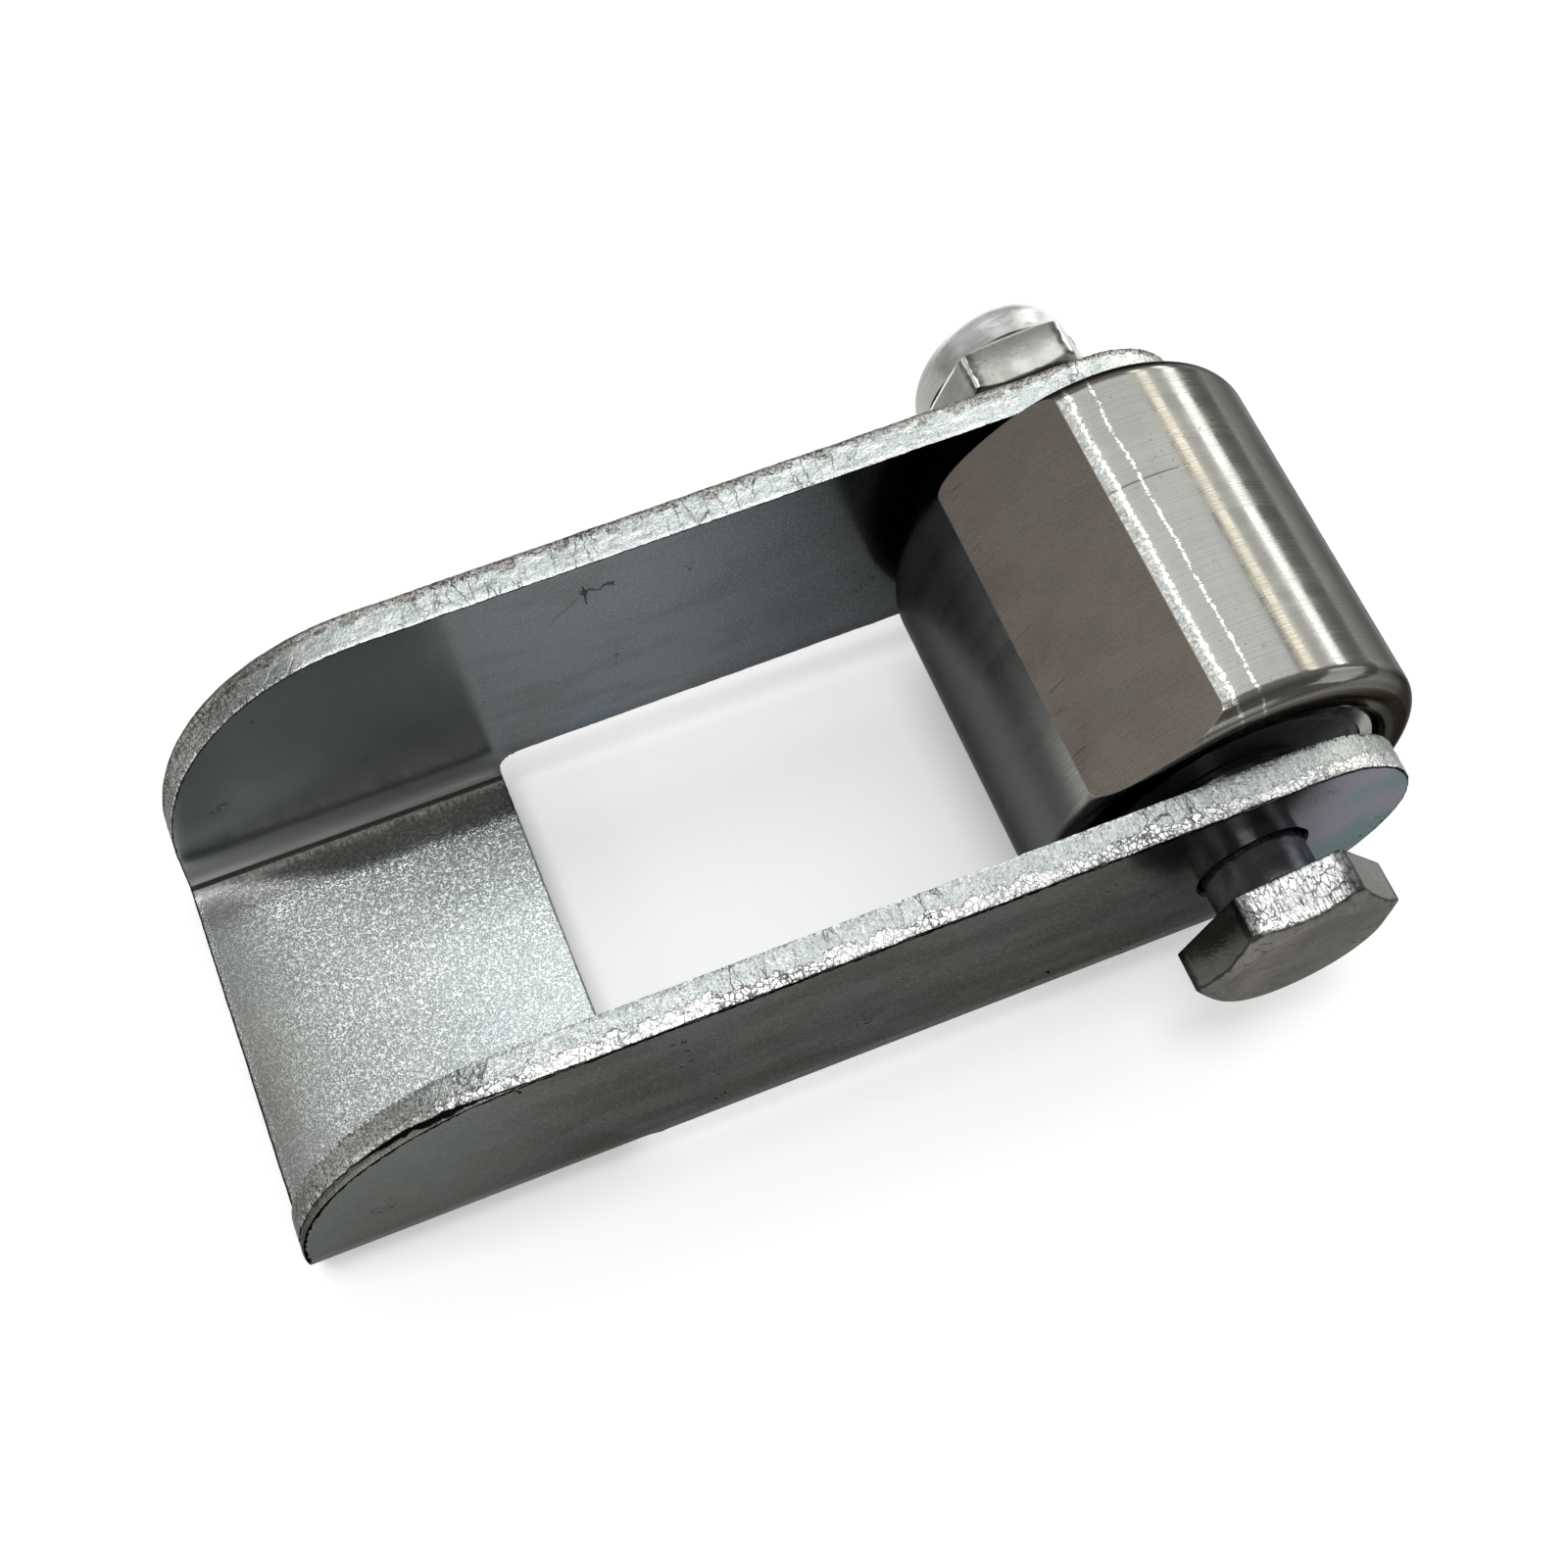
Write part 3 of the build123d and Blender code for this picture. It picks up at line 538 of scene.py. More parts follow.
def makeYokeSheet():
    y = yokeSheet
    earRadius = (yokeHigh.z - y["lowerEdge"]) / 2
    webHalf = yokeHigh.y - y["sheet"] - y["bendRadius"]
    bendLength = (y["bendRadius"] + y["sheet"] / 2) * math.pi / 2
    top = blankTop()
    low = top - yokeHigh.z + y["lowerEdge"]
    left, right, web = yokeLow.x, yokeHigh.x, y["webEnd"]
    bm = bmesh.new()
    half = [(left, top, y["cornerRadius"]), (right, top, earRadius - y["cornerGap"]),
            (right, low, earRadius - y["cornerGap"]), (web, low, y["windowRadius"])]
    corners = half + [(x, -s, r) for x, s, r in reversed(half)]
    verts = [bm.verts.new((x, s, 0)) for x, s, r in corners]
    bm.faces.new(verts)
    for vert, (x, s, r) in zip(verts, corners):
        bmesh.ops.bevel(bm, geom=[vert], offset=r, offset_type="OFFSET", affect="VERTICES", profile=0.5,
                        material=-1, segments=max(8, round(r * math.pi / 2 / y["step"])))
    for edge in list(bm.edges):
        cuts = round(edge.calc_length() / y["step"]) - 1
        if cuts > 0:
            bmesh.ops.subdivide_edges(bm, edges=[edge], cuts=cuts)
    bmesh.ops.delete(bm, geom=list(bm.faces), context="FACES_ONLY")
    holeS = low + pivot.z - y["lowerEdge"]
    holeSteps = round(2 * math.pi * y["holeRadius"] / y["step"])
    for side in (1, -1):
        bmesh.ops.create_circle(bm, cap_ends=False, radius=y["holeRadius"], segments=holeSteps,
                                matrix=Matrix.Translation((pivot.x, side * holeS, 0)))
    bmesh.ops.triangle_fill(bm, use_beauty=True, edges=list(bm.edges))
    grown = bmesh.ops.extrude_face_region(bm, geom=list(bm.faces))["geom"]
    upper = [v for v in grown if isinstance(v, bmesh.types.BMVert)]
    bmesh.ops.translate(bm, vec=(0, 0, y["sheet"]), verts=upper)
    upright = [e for e in bm.edges if abs(e.verts[0].co.z - e.verts[1].co.z) > 1]
    bmesh.ops.subdivide_edges(bm, edges=upright, cuts=y["rows"] - 1, use_grid_fill=True)
    # cuts along each fold, and across the arms where they straighten past the web
    cuts = []
    for side in (1, -1):
        for i in range(y["bendCuts"] + 1):
            cuts.append(((0, side * (webHalf + bendLength * i / y["bendCuts"]), 0), (0, 1, 0)))
    for past in (-y["relief"], y["relief"], 3 * y["relief"], y["windowRadius"]):
        cuts.append(((web + past, 0, 0), (1, 0, 0)))
    for place, normal in cuts:
        everything = bm.verts[:] + bm.edges[:] + bm.faces[:]
        bmesh.ops.bisect_plane(bm, geom=everything, dist=y["cutReach"], plane_co=place, plane_no=normal)
    bmesh.ops.recalc_face_normals(bm, faces=bm.faces)
    bm.normal_update()
    for face in bm.faces:
        face.material_index = 1 if abs(face.normal.z) < 0.5 else 0
    flat = bm.verts.layers.float_vector.new("flatPlace")
    moved = {}
    for vert in bm.verts:
        vert[flat] = vert.co
        out = sum((f.normal for f in vert.link_faces if f.material_index == 1), Vector()).normalized()
        out.z = 0
        moved[vert] = foldedPlace(*(vert.co - out * tornDepth(*vert.co)))
    for vert, goal in moved.items():
        vert.co = goal
    bm.normal_update()
    bmesh.ops.recalc_face_normals(bm, faces=bm.faces)
    if bm.calc_volume(signed=True) < 0:
        bmesh.ops.reverse_faces(bm, faces=bm.faces)          # the fold turned the blank over
    for edge in bm.edges:
        if len({f.material_index for f in edge.link_faces}) > 1:
            edge.smooth = False
    finishes = [makeZincSheet(), makeShearedEdge()]
    return finishPiece("yoke_sheet", bm, finishes, "yoke", "yoke", keepSmooth=70)


yokePiece = makeYokeSheet()
print("yoke sheet folded", len(yokePiece.data.vertices))

# Turned barrel under bright zinc, its weld flat milled back to bare brownish steel
barrelFinish = {
    "flatWidth": 12.7, "flatTurn": 124.3,          # the flat's normal, in degrees from +X
    # the rubbed colour: rubbed plating, partly painted highlight
    "zinc": "#979690", "shade": "#878984", "mark": "#4E4B48", "turned": "#7A7C7A", "rubbedSheen": "#FFFFFF",
    # film and rim: painted shade colours
    "mottle": "#DDE2E0", "film": "#5E615F", "rim": "#474440", "steel": "#888177", "blush": "#7F6564",
    "steelShade": "#6C6660", "nick": "#3A2F2F",
    # grains and cutting lines: one over their size in millimetres, detail, roughness; the real lines are
    # finer and wouldn't show
    "turnLines": (1 / 0.16, 2.0, 0.7), "turnBands": (1 / 2.2, 2.0, 0.5), "millLines": (1 / 0.22, 3.0, 0.7),
    "cloudGrain": (1 / 7.0, 3.0, 0.6), "lengthGrain": (1 / 1.1, 2.0, 0.6), "lengthStretch": (1, 0.03, 1),
    "speckGrain": (1 / 0.22, 3.0, 0.7), "scratchGrain": (1 / 3.5, 1.0), "pitGrain": (1 / 0.45, 1.0),
    "speckleGrain": (1 / 0.25, 2.0, 0.7), "raggedGrain": (1 / 0.28, 2.0, 0.7), "swayGrain": (1 / 4.0, 1.0),
    "spreadGrain": (1 / 0.42, 3.0, 0.75), "mottleGrain": (1 / 0.35, 2.0, 0.7),
    "mottlePitGrain": (1 / 0.3, 2.0, 0.7), "blushGrain": (1 / 6.0, 3.0, 0.6), "nickGrain": (1 / 1.6, 2.0),
    # ramps in millimetres: past the flat, from an end, across the flat, along its normal, up
    "milled": (-0.035, -0.01), "besideFlat": (-0.55, -0.38), "endZone": (0.5, 0.1), "rimZone": (1.9, 1.2),
    "lowerAcross": (0, -5), "lowAcross": (0, -5, 0.0, 0.75), "lowOut": (3.5, 0.5),
    "leftAcross": (6.0, 9.0, 0.0, 0.85), "blushAcross": (1.0, 6.2), "nickAcross": (2.0, 5.5),
    "upperSide": (0, 5), "scratchWidth": (0.09, 0.02), "rubbedSheenEdge": (0.05, -0.05, 0.0, 0.85),
    # ramps on a grain or on cutting lines
    "cloudShade": (0.35, 0.65, 0.0, 0.6), "lengthShade": (0.45, 0.7, 0.0, 0.35),
    "scratchBreaks": (0.42, 0.55), "pits": (0.28, 0.22, 0.0, 0.6), "speckle": (0.4, 0.7, 0.0, 0.35),
    "lineShare": (0.50, 0.66, 0.0, 0.40), "spread": (0.36, 0.64), "mottleLight": (0.5, 0.62, 0.0, 0.35),
    "mottleDark": (0.46, 0.38, 0.0, 0.45), "rimShare": (0.35, 0.65, 0.5, 0.95),
    "blushShare": (0.42, 0.62, 0.0, 0.45), "steelSpecks": (0.45, 0.7, 0.0, 0.32),
    "steelClouds": (0.42, 0.6, 0.0, 0.22), "millShare": (0.5, 0.72, 0.0, 0.16), "nickLines": (0.57, 0.64),
    "nickPlaces": (0.50, 0.60, 0.0, 0.7), "lineRough": (0.3, 0.7, 0.09, 0.18),
    "bandRough": (0.3, 0.7, -0.02, 0.04), "millRough": (0.3, 0.7, 0.34, 0.46),
    # places, strengths and heights
    "lineTurns": (94.7, 101.2), "lineWidths": (0.20, 0.30), "lineInner": -0.04, "raggedReach": 0.35,
    "swayReach": 0.5, "cutterRadius": 30.0, "scratchAt": 5.3, "scratchSlope": 0.015, "scratchStrength": 0.6,
    "paintedShadeRough": 0.22, "lineHeight": 0.5, "scratchDepth": -2.0, "lengthHeight": 1.2, "millHeight": 0.35,
    "bumpStrength": 0.6, "bumpDepth": 0.008}


def rubbedSheenLines(add, centred, zinc):
    # two thin ragged lines beside the flat, partly plating rubbed bright and partly painted highlight streaks
    b = barrelFinish
    placeZ = add("SeparateXYZ", centred, output="Z")
    ragged = add("minus", add("TexNoise", centred, *b["raggedGrain"]), 0.5)
    sway = add("minus", add("TexNoise", centred, *b["swayGrain"]), 0.5)
    ragged = add("plus", add("times", ragged, b["raggedReach"]), add("times", sway, b["swayReach"]))
    for turn, reach in zip(b["lineTurns"], b["lineWidths"]):
        away = (-math.sin(math.radians(turn)), 0, math.cos(math.radians(turn)))
        aside = add("VectorMath", centred, away, operation="DOT_PRODUCT")
        aside = add("absolute", add("plus", aside, ragged))
        spread = add("TexNoise", centred, *b["spreadGrain"])
        spread = add("ramp", spread, *b["spread"], b["lineInner"], reach)
        rubbedSheen = add("ramp", add("minus", aside, spread), *b["rubbedSheenEdge"])
        rubbedSheen = add("times", rubbedSheen, add("ramp", placeZ, *b["upperSide"]))
        zinc = add("blend", rubbedSheen, zinc, b["rubbedSheen"])
    return zinc


def barrelZinc(add, centred, out, past, across, fromEnd, lines, bands, clouds, lengthwise, scratch):
    # plated round side: clouds, cutting lines, one scratch, pits, rubbed lines that are partly painted
    # highlight, a mottled strip, and painted shade on the sides and rims
    b = barrelFinish
    zinc = add("blend", add("ramp", clouds, *b["cloudShade"]), b["zinc"], b["shade"])
    zinc = add("blend", add("ramp", lengthwise, *b["lengthShade"]), zinc, b["shade"])
    zinc = add("blend", add("times", scratch, b["scratchStrength"]), zinc, b["mark"])
    zinc = add("blend", add("ramp", add("TexNoise", centred, *b["pitGrain"]), *b["pits"]), zinc, b["mark"])
    zinc = add("blend", add("ramp", add("TexNoise", centred, *b["speckleGrain"]), *b["speckle"]), zinc,
               b["shade"])
    zinc = add("blend", add("ramp", lines, *b["lineShare"]), zinc, b["turned"])
    zinc = rubbedSheenLines(add, centred, zinc)
    mottled = add("times", add("ramp", past, *b["besideFlat"]), add("ramp", across, *b["lowerAcross"]))
    light = add("ramp", add("TexNoise", centred, *b["mottleGrain"]), *b["mottleLight"])
    zinc = add("blend", add("times", mottled, light), zinc, b["mottle"])
    dark = add("ramp", add("TexNoise", centred, *b["mottlePitGrain"]), *b["mottleDark"])
    zinc = add("blend", add("times", mottled, dark), zinc, b["mark"])
    # painted shade on the side turned to the web and low on the other side, and a darker brownish painted
    # shade on both rounded rims
    lowSide = add("times", add("ramp", out, *b["lowOut"]), add("ramp", across, *b["lowAcross"]))
    leftSide = add("ramp", across, *b["leftAcross"])
    zinc = add("blend", lowSide, zinc, b["film"])
    zinc = add("blend", leftSide, zinc, b["film"])
    rim = add("times", add("ramp", fromEnd, *b["rimZone"]), add("ramp", bands, *b["rimShare"]))
    return add("blend", rim, zinc, b["rim"]), add("larger", leftSide, lowSide)


def barrelSteel(add, centred, across, clouds, speck, millLines):
    # milled steel: a reddish blush, specks, clouds, and nicks along the cutter's lines
    b = barrelFinish
    blush = add("ramp", add("TexNoise", centred, *b["blushGrain"]), *b["blushShare"])
    blush = add("times", add("ramp", across, *b["blushAcross"]), blush)
    steel = add("blend", blush, b["steel"], b["blush"])
    steel = add("blend", add("ramp", speck, *b["steelSpecks"]), steel, b["mark"])
    steel = add("blend", add("ramp", clouds, *b["steelClouds"]), steel, b["steelShade"])
    steel = add("blend", add("ramp", millLines, *b["millShare"]), steel, b["mark"])
    nicks = add("ramp", add("TexNoise", centred, *b["nickGrain"]), *b["nickPlaces"])
    nicks = add("times", add("ramp", across, *b["nickAcross"]), nicks)
    nicks = add("times", add("ramp", millLines, *b["nickLines"]), nicks)
    return add("blend", nicks, steel, b["nick"])


def makeBarrelFinish():
    # turned zinc plate about 0.2 rough, milled steel about 0.35
    material, add, shader = newMaterial("turned_zinc_and_milled_steel", 1.0)
    b = barrelFinish
    centred, placeX, placeY, radial = axisParts(add)
    turn = math.radians(b["flatTurn"])
    out = add("VectorMath", centred, (math.cos(turn), 0, math.sin(turn)), operation="DOT_PRODUCT")
    across = add("VectorMath", centred, (-math.sin(turn), 0, math.cos(turn)), operation="DOT_PRODUCT")
    past = add("minus", out, math.sqrt(barrelRadius ** 2 - (b["flatWidth"] / 2) ** 2))
    milled = add("ramp", past, *b["milled"])
    fromEnd = add("Math", add("minus", placeY, barrelLow.y), add("minus", barrelHigh.y, placeY),
                  operation="MINIMUM")
    # cutting lines: by length on the round side, by radius on the ends, in the cutter's arcs on the flat
    along = add("Mix", add("ramp", fromEnd, *b["endZone"]), placeY, radial)
    lines = add("TexNoise", along, *b["turnLines"], noise_dimensions="1D")
    bands = add("TexNoise", along, *b["turnBands"], noise_dimensions="1D")
    bow = add("Math", add("times", across, across), 2 * b["cutterRadius"], operation="DIVIDE")
    arcs = add("plus", placeY, bow)
    millLines = add("TexNoise", arcs, *b["millLines"], noise_dimensions="1D")
    clouds = add("TexNoise", centred, *b["cloudGrain"])
    lengthwise = add("TexNoise", add("Mapping", centred, Scale=b["lengthStretch"]), *b["lengthGrain"])
    speck = add("TexNoise", centred, *b["speckGrain"])
    scratch = add("plus", placeY, add("times", placeX, b["scratchSlope"]))
    scratch = add("absolute", add("minus", scratch, b["scratchAt"]))
    breaks = add("ramp", add("TexNoise", centred, *b["scratchGrain"]), *b["scratchBreaks"])
    scratch = add("times", add("ramp", scratch, *b["scratchWidth"]), breaks)
    # film is the mask of the painted shade on the sides, which also roughens them
    zinc, film = barrelZinc(add, centred, out, past, across, fromEnd, lines, bands, clouds, lengthwise,
                            scratch)
    colour = add("blend", milled, zinc, barrelSteel(add, centred, across, clouds, speck, millLines))
    zincRough = add("plus", add("ramp", lines, *b["lineRough"]), add("ramp", bands, *b["bandRough"]))
    zincRough = add("plus", zincRough, add("times", film, b["paintedShadeRough"]))
    rough = add("Mix", milled, zincRough, add("ramp", millLines, *b["millRough"]))
    zincHeight = add("plus", add("times", scratch, b["scratchDepth"]),
                     add("times", lengthwise, b["lengthHeight"]))
    zincHeight = add("plus", add("times", lines, b["lineHeight"]), zincHeight)
    millHeight = add("plus", add("times", millLines, b["millHeight"]), speck)
    height = add("Mix", milled, zincHeight, millHeight)
    setInputs(shader, {"Base Color": colour, "Roughness": rough,
                       "Specular Tint": zincSheet["edgeTint"],
                       "Normal": add("Bump", b["bumpStrength"], b["bumpDepth"] * mm, Height=height)})
    return material


# Rings, seals and sleeve: circles about the bolt, from grinding or moulding, drawn coarse enough to show
roundFinish = {"cloudGrain": (1 / 2.5, 3.0, 0.6), "circleShare": (0.4, 0.7, 0.0, 0.5),
               "cloudShare": (0.4, 0.7, 0.0, 0.4), "roughFrom": (0.3, 0.7), "smoother": 0.05, "rougher": 0.08,
               "bumpStrength": 0.5, "bumpDepth": 0.01}


def makeRoundFinish(name, metallic, light, dark, lineSize, roughness):
    material, add, shader = newMaterial(name, metallic)
    f = roundFinish
    centred, *_, radial = axisParts(add)
    circles = add("TexNoise", radial, 1 / lineSize, noise_dimensions="1D")
    clouds = add("TexNoise", centred, *f["cloudGrain"])
    share = add("plus", add("ramp", circles, *f["circleShare"]), add("ramp", clouds, *f["cloudShare"]))
    rough = add("ramp", clouds, *f["roughFrom"], roughness - f["smoother"], roughness + f["rougher"])
    setInputs(shader, {"Base Color": add("blend", share, light, dark), "Roughness": rough,
                       "Normal": add("Bump", f["bumpStrength"], f["bumpDepth"] * mm, Height=circles)})
    return material


# name, metallic, light and dark colour, width of the circles in millimetres, roughness: ground, turned and
# pressed steel from dark to mid grey, matt black rubber, mirror-bright balls and milky nylon
groundSteel = makeRoundFinish("ground_bearing_steel", 1.0, "#7E7D79", "#5D5C59", 0.12, 0.2)
nitrile = makeRoundFinish("moulded_nitrile_rubber", 0.0, "#1B1B1C", "#101011", 0.5, 0.5)
ballSteel = makeRoundFinish("polished_ball_steel", 1.0, "#C4C6C7", "#B3B6B8", 2.0, 0.08)
cageStrip = makeRoundFinish("pressed_steel_strip", 1.0, "#A19F9A", "#85837F", 0.3, 0.28)
sleeveSteel = makeRoundFinish("turned_oiled_steel", 1.0, "#8B8B89", "#6F6F6E", 0.15, 0.3)
nylon = makeRoundFinish("natural_nylon", 0.0, "#D9DCDB", "#C9CDCC", 0.4, 0.45)

# finishes for the nodes whose name holds the word
nodeFinish = {"barrel": makeBarrelFinish(), "outer_ring": groundSteel, "inner_ring": groundSteel,
              "seal": nitrile, "balls": ballSteel, "cage": cageStrip, "sleeve": sleeveSteel, "insert": nylon}
for name, node in frame["nodes"].items():
    for word, finish in nodeFinish.items():
        if word in name:
            node.data.materials[0] = finish
print("barrel, rings and seals finished")

coneSlope = math.tan(math.radians(30))          # chamfer on the bolt's head and on the nut


def hexRing(bm, acrossFlats, turn, sideCuts, y):
    # a closed six-sided ring of edges about the bolt's axis
    made = bmesh.ops.create_circle(bm, cap_ends=False, radius=acrossFlats / math.sqrt(3), segments=6)["verts"]
    lead = math.atan2(made[0].co.y, made[0].co.x)
    edges = list({e for v in made for e in v.link_edges})
    bmesh.ops.subdivide_edges(bm, edges=edges, cuts=sideCuts)
    ring = list(bm.verts)
    turned = Matrix.Rotation(math.radians(turn) - lead, 3, "Z")
    bmesh.ops.rotate(bm, verts=ring, cent=(0, 0, 0), matrix=turned)
    for vert in ring:
        vert.co = Vector((vert.co.x, y, vert.co.y))
    return list(bm.edges)


def nextRing(bm, edges, radius=None, y=None, slope=None):
    # extrudes the ring: radius makes it round, slope=(start radius, tangent, y) lays it on a cone
    grown = bmesh.ops.extrude_edge_only(bm, edges=edges)["geom"]
    for vert in [g for g in grown if isinstance(g, bmesh.types.BMVert)]:
        reach = math.hypot(vert.co.x, vert.co.z)
        if radius is not None:
            vert.co.x *= radius / reach
            vert.co.z *= radius / reach
        vert.co.y = y if slope is None else slope[2] + max(0, reach - slope[0]) * slope[1]
    return [g for g in grown if isinstance(g, bmesh.types.BMEdge)]


def softenEdges(bm, width, segments, below=math.inf):
    # rounds the edges sharper than 24 degrees whose Y is under below
    sharp = [e for e in bm.edges if len(e.link_faces) == 2 and e.calc_face_angle() > math.radians(24)]
    sharp = [e for e in sharp if max(v.co.y for v in e.verts) < below]
    bmesh.ops.bevel(bm, geom=sharp, offset=width, offset_type="OFFSET", affect="EDGES", segments=segments,
                    profile=0.5, material=-1)


# M10 bolt: forged head with a chamfered face, plain shank, rolled thread
boltShape = {"acrossFlats": 17.0, "turn": 11.8, "faceRadius": 7.8, "headUnderside": -28.6, "washer": 0.4,
             "washerRadius": 7.3, "washerRound": 0.05, "dishRim": 0.6, "dishRadius": 3.0, "dishSlope": 0.03,
             "dishDepth": 0.12, "fillet": 0.35, "filletStep": 0.08, "filletRise": 0.12, "filletLength": 0.4,
             "shankRadius": 4.925, "threadRadius": 4.875, "threadLength": 26.0, "pitch": 1.5,
             "threadDepth": 0.85, "runOut": 0.8, "runIn": 0.2, "coreSpare": 0.1, "endSpare": 0.02,
             "crest": 0.2, "rootFrom": 0.75, "rootTo": 0.95, "endChamfer": 1.0, "endDrop": 0.4,
             "edgeSoftness": 0.16, "sideCuts": 15, "threadSteps": 72, "weldReach": 0.002}

# Bright zinc on the forged bolt: one flat crackled and bright, its brightness partly painted highlight, the
# others smooth with the left one painted dark as painted shade, a dull brownish face
boltFinish = {
    "bright": "#E6E8E7", "crackle": "#B0B1AE", "smooth": "#9A9994", "leftFlat": "#3C3E3B", "dull": "#72706B",
    "faceLight": "#8F8B84", "faceShade": "#4A4844", "shank": "#9C9EA3", "dark": "#22221F",
    # grains as on the barrel, then spacing and twist, and the size of the cells between cracks
    "speckGrain": (1 / 0.28, 2.0, 0.6), "cloudGrain": (1 / 4.0, 3.0, 0.6),
    "drawnGrain": (1 / 0.24, 2.0, 0.65, 2.0, 0.3), "drawnStretch": (1, 0.16, 1), "swayGrain": (1 / 0.5, 2.0),
    "swayReach": 0.5, "scuffGrain": (1 / 0.5, 3.0, 0.7), "scuffStretch": (0.4, 1, 1),
    "wanderGrain": (1 / 1.2, 2.0), "wanderReach": 0.5, "crackSize": 0.46, "crackStretch": (1, 0.42, 1),
    # ramps in millimetres: past a flat, beside the axis, above the cone, from the axis, past the underside
    "topFlat": (-0.22, -0.08), "leftSide": (-2, -6, 0.0, 0.75), "onFace": (0.22, 0.12),
    "rimWidth": (0.20, 0.06, 0.0, 0.75), "rimZone": (8.1, 8.4), "cornerZone": (9.30, 9.55, 0.0, 0.8),
    "backEdge": (-0.85, -0.55, 0.0, 0.55),
    # ramps on a grain, a crack's distance or another share
    "drawnLight": (0.40, 0.50), "crackWidth": (0.12, 0.03), "crackShare": (0.35, 0.6, 0.35, 0.85),
    "drawnDark": (0.38, 0.30, 0.0, 0.7), "smoothSpecks": (0.4, 0.7, 0.0, 0.3),
    "dullSpecks": (0.45, 0.7, 0.0, 0.3), "faceClouds": (0.5, 0.7, 0.0, 0.25), "scuffShare": (0.58, 0.64),
    "scuffPlaces": (0.45, 0.6), "faceShadows": (0.50, 0.35, 0.0, 0.30), "shankClouds": (0.4, 0.65, 0.0, 0.6),
    "roughness": (0.3, 0.7, 0.18, 0.30), "faceHeight": (0, 1, 1.2, 0.5),
    # places, strengths and heights
    "headGap": 0.02, "rimAt": 0.22, "scuffStrength": 0.6, "faceRough": 0.22, "drawnHeight": 0.4,
    "speckHeight": 0.35, "cornerDepth": 0.4, "bumpDepth": 0.05, "edgeTint": "#AAAAAA"}


def topFlat(add, centred):
    # 1 on the bolt head's upper flat
    normalTurn = math.radians(boltShape["turn"] + 90)
    topNormal = (math.cos(normalTurn), 0, math.sin(normalTurn))
    toTop = add("VectorMath", centred, topNormal, operation="DOT_PRODUCT")
    toTop = add("minus", toTop, boltShape["acrossFlats"] / 2)
    return add("ramp", toTop, *boltFinish["topFlat"])


def boltFace(add, centred, specks, clouds):
    # the dull face with its scuffs
    f = boltFinish
    dull = add("blend", add("ramp", specks, *f["dullSpecks"]), f["dull"], f["dark"])
    dull = add("blend", add("ramp", clouds, *f["faceClouds"]), dull, f["faceLight"])
    scuffs = add("TexNoise", add("Mapping", centred, Scale=f["scuffStretch"]), *f["scuffGrain"])
    scuffs = add("times", add("ramp", scuffs, *f["scuffShare"]), add("ramp", clouds, *f["scuffPlaces"]))
    dull = add("blend", add("times", scuffs, f["scuffStrength"]), dull, f["dark"])
    return add("blend", add("ramp", clouds, *f["faceShadows"]), dull, f["faceShade"])


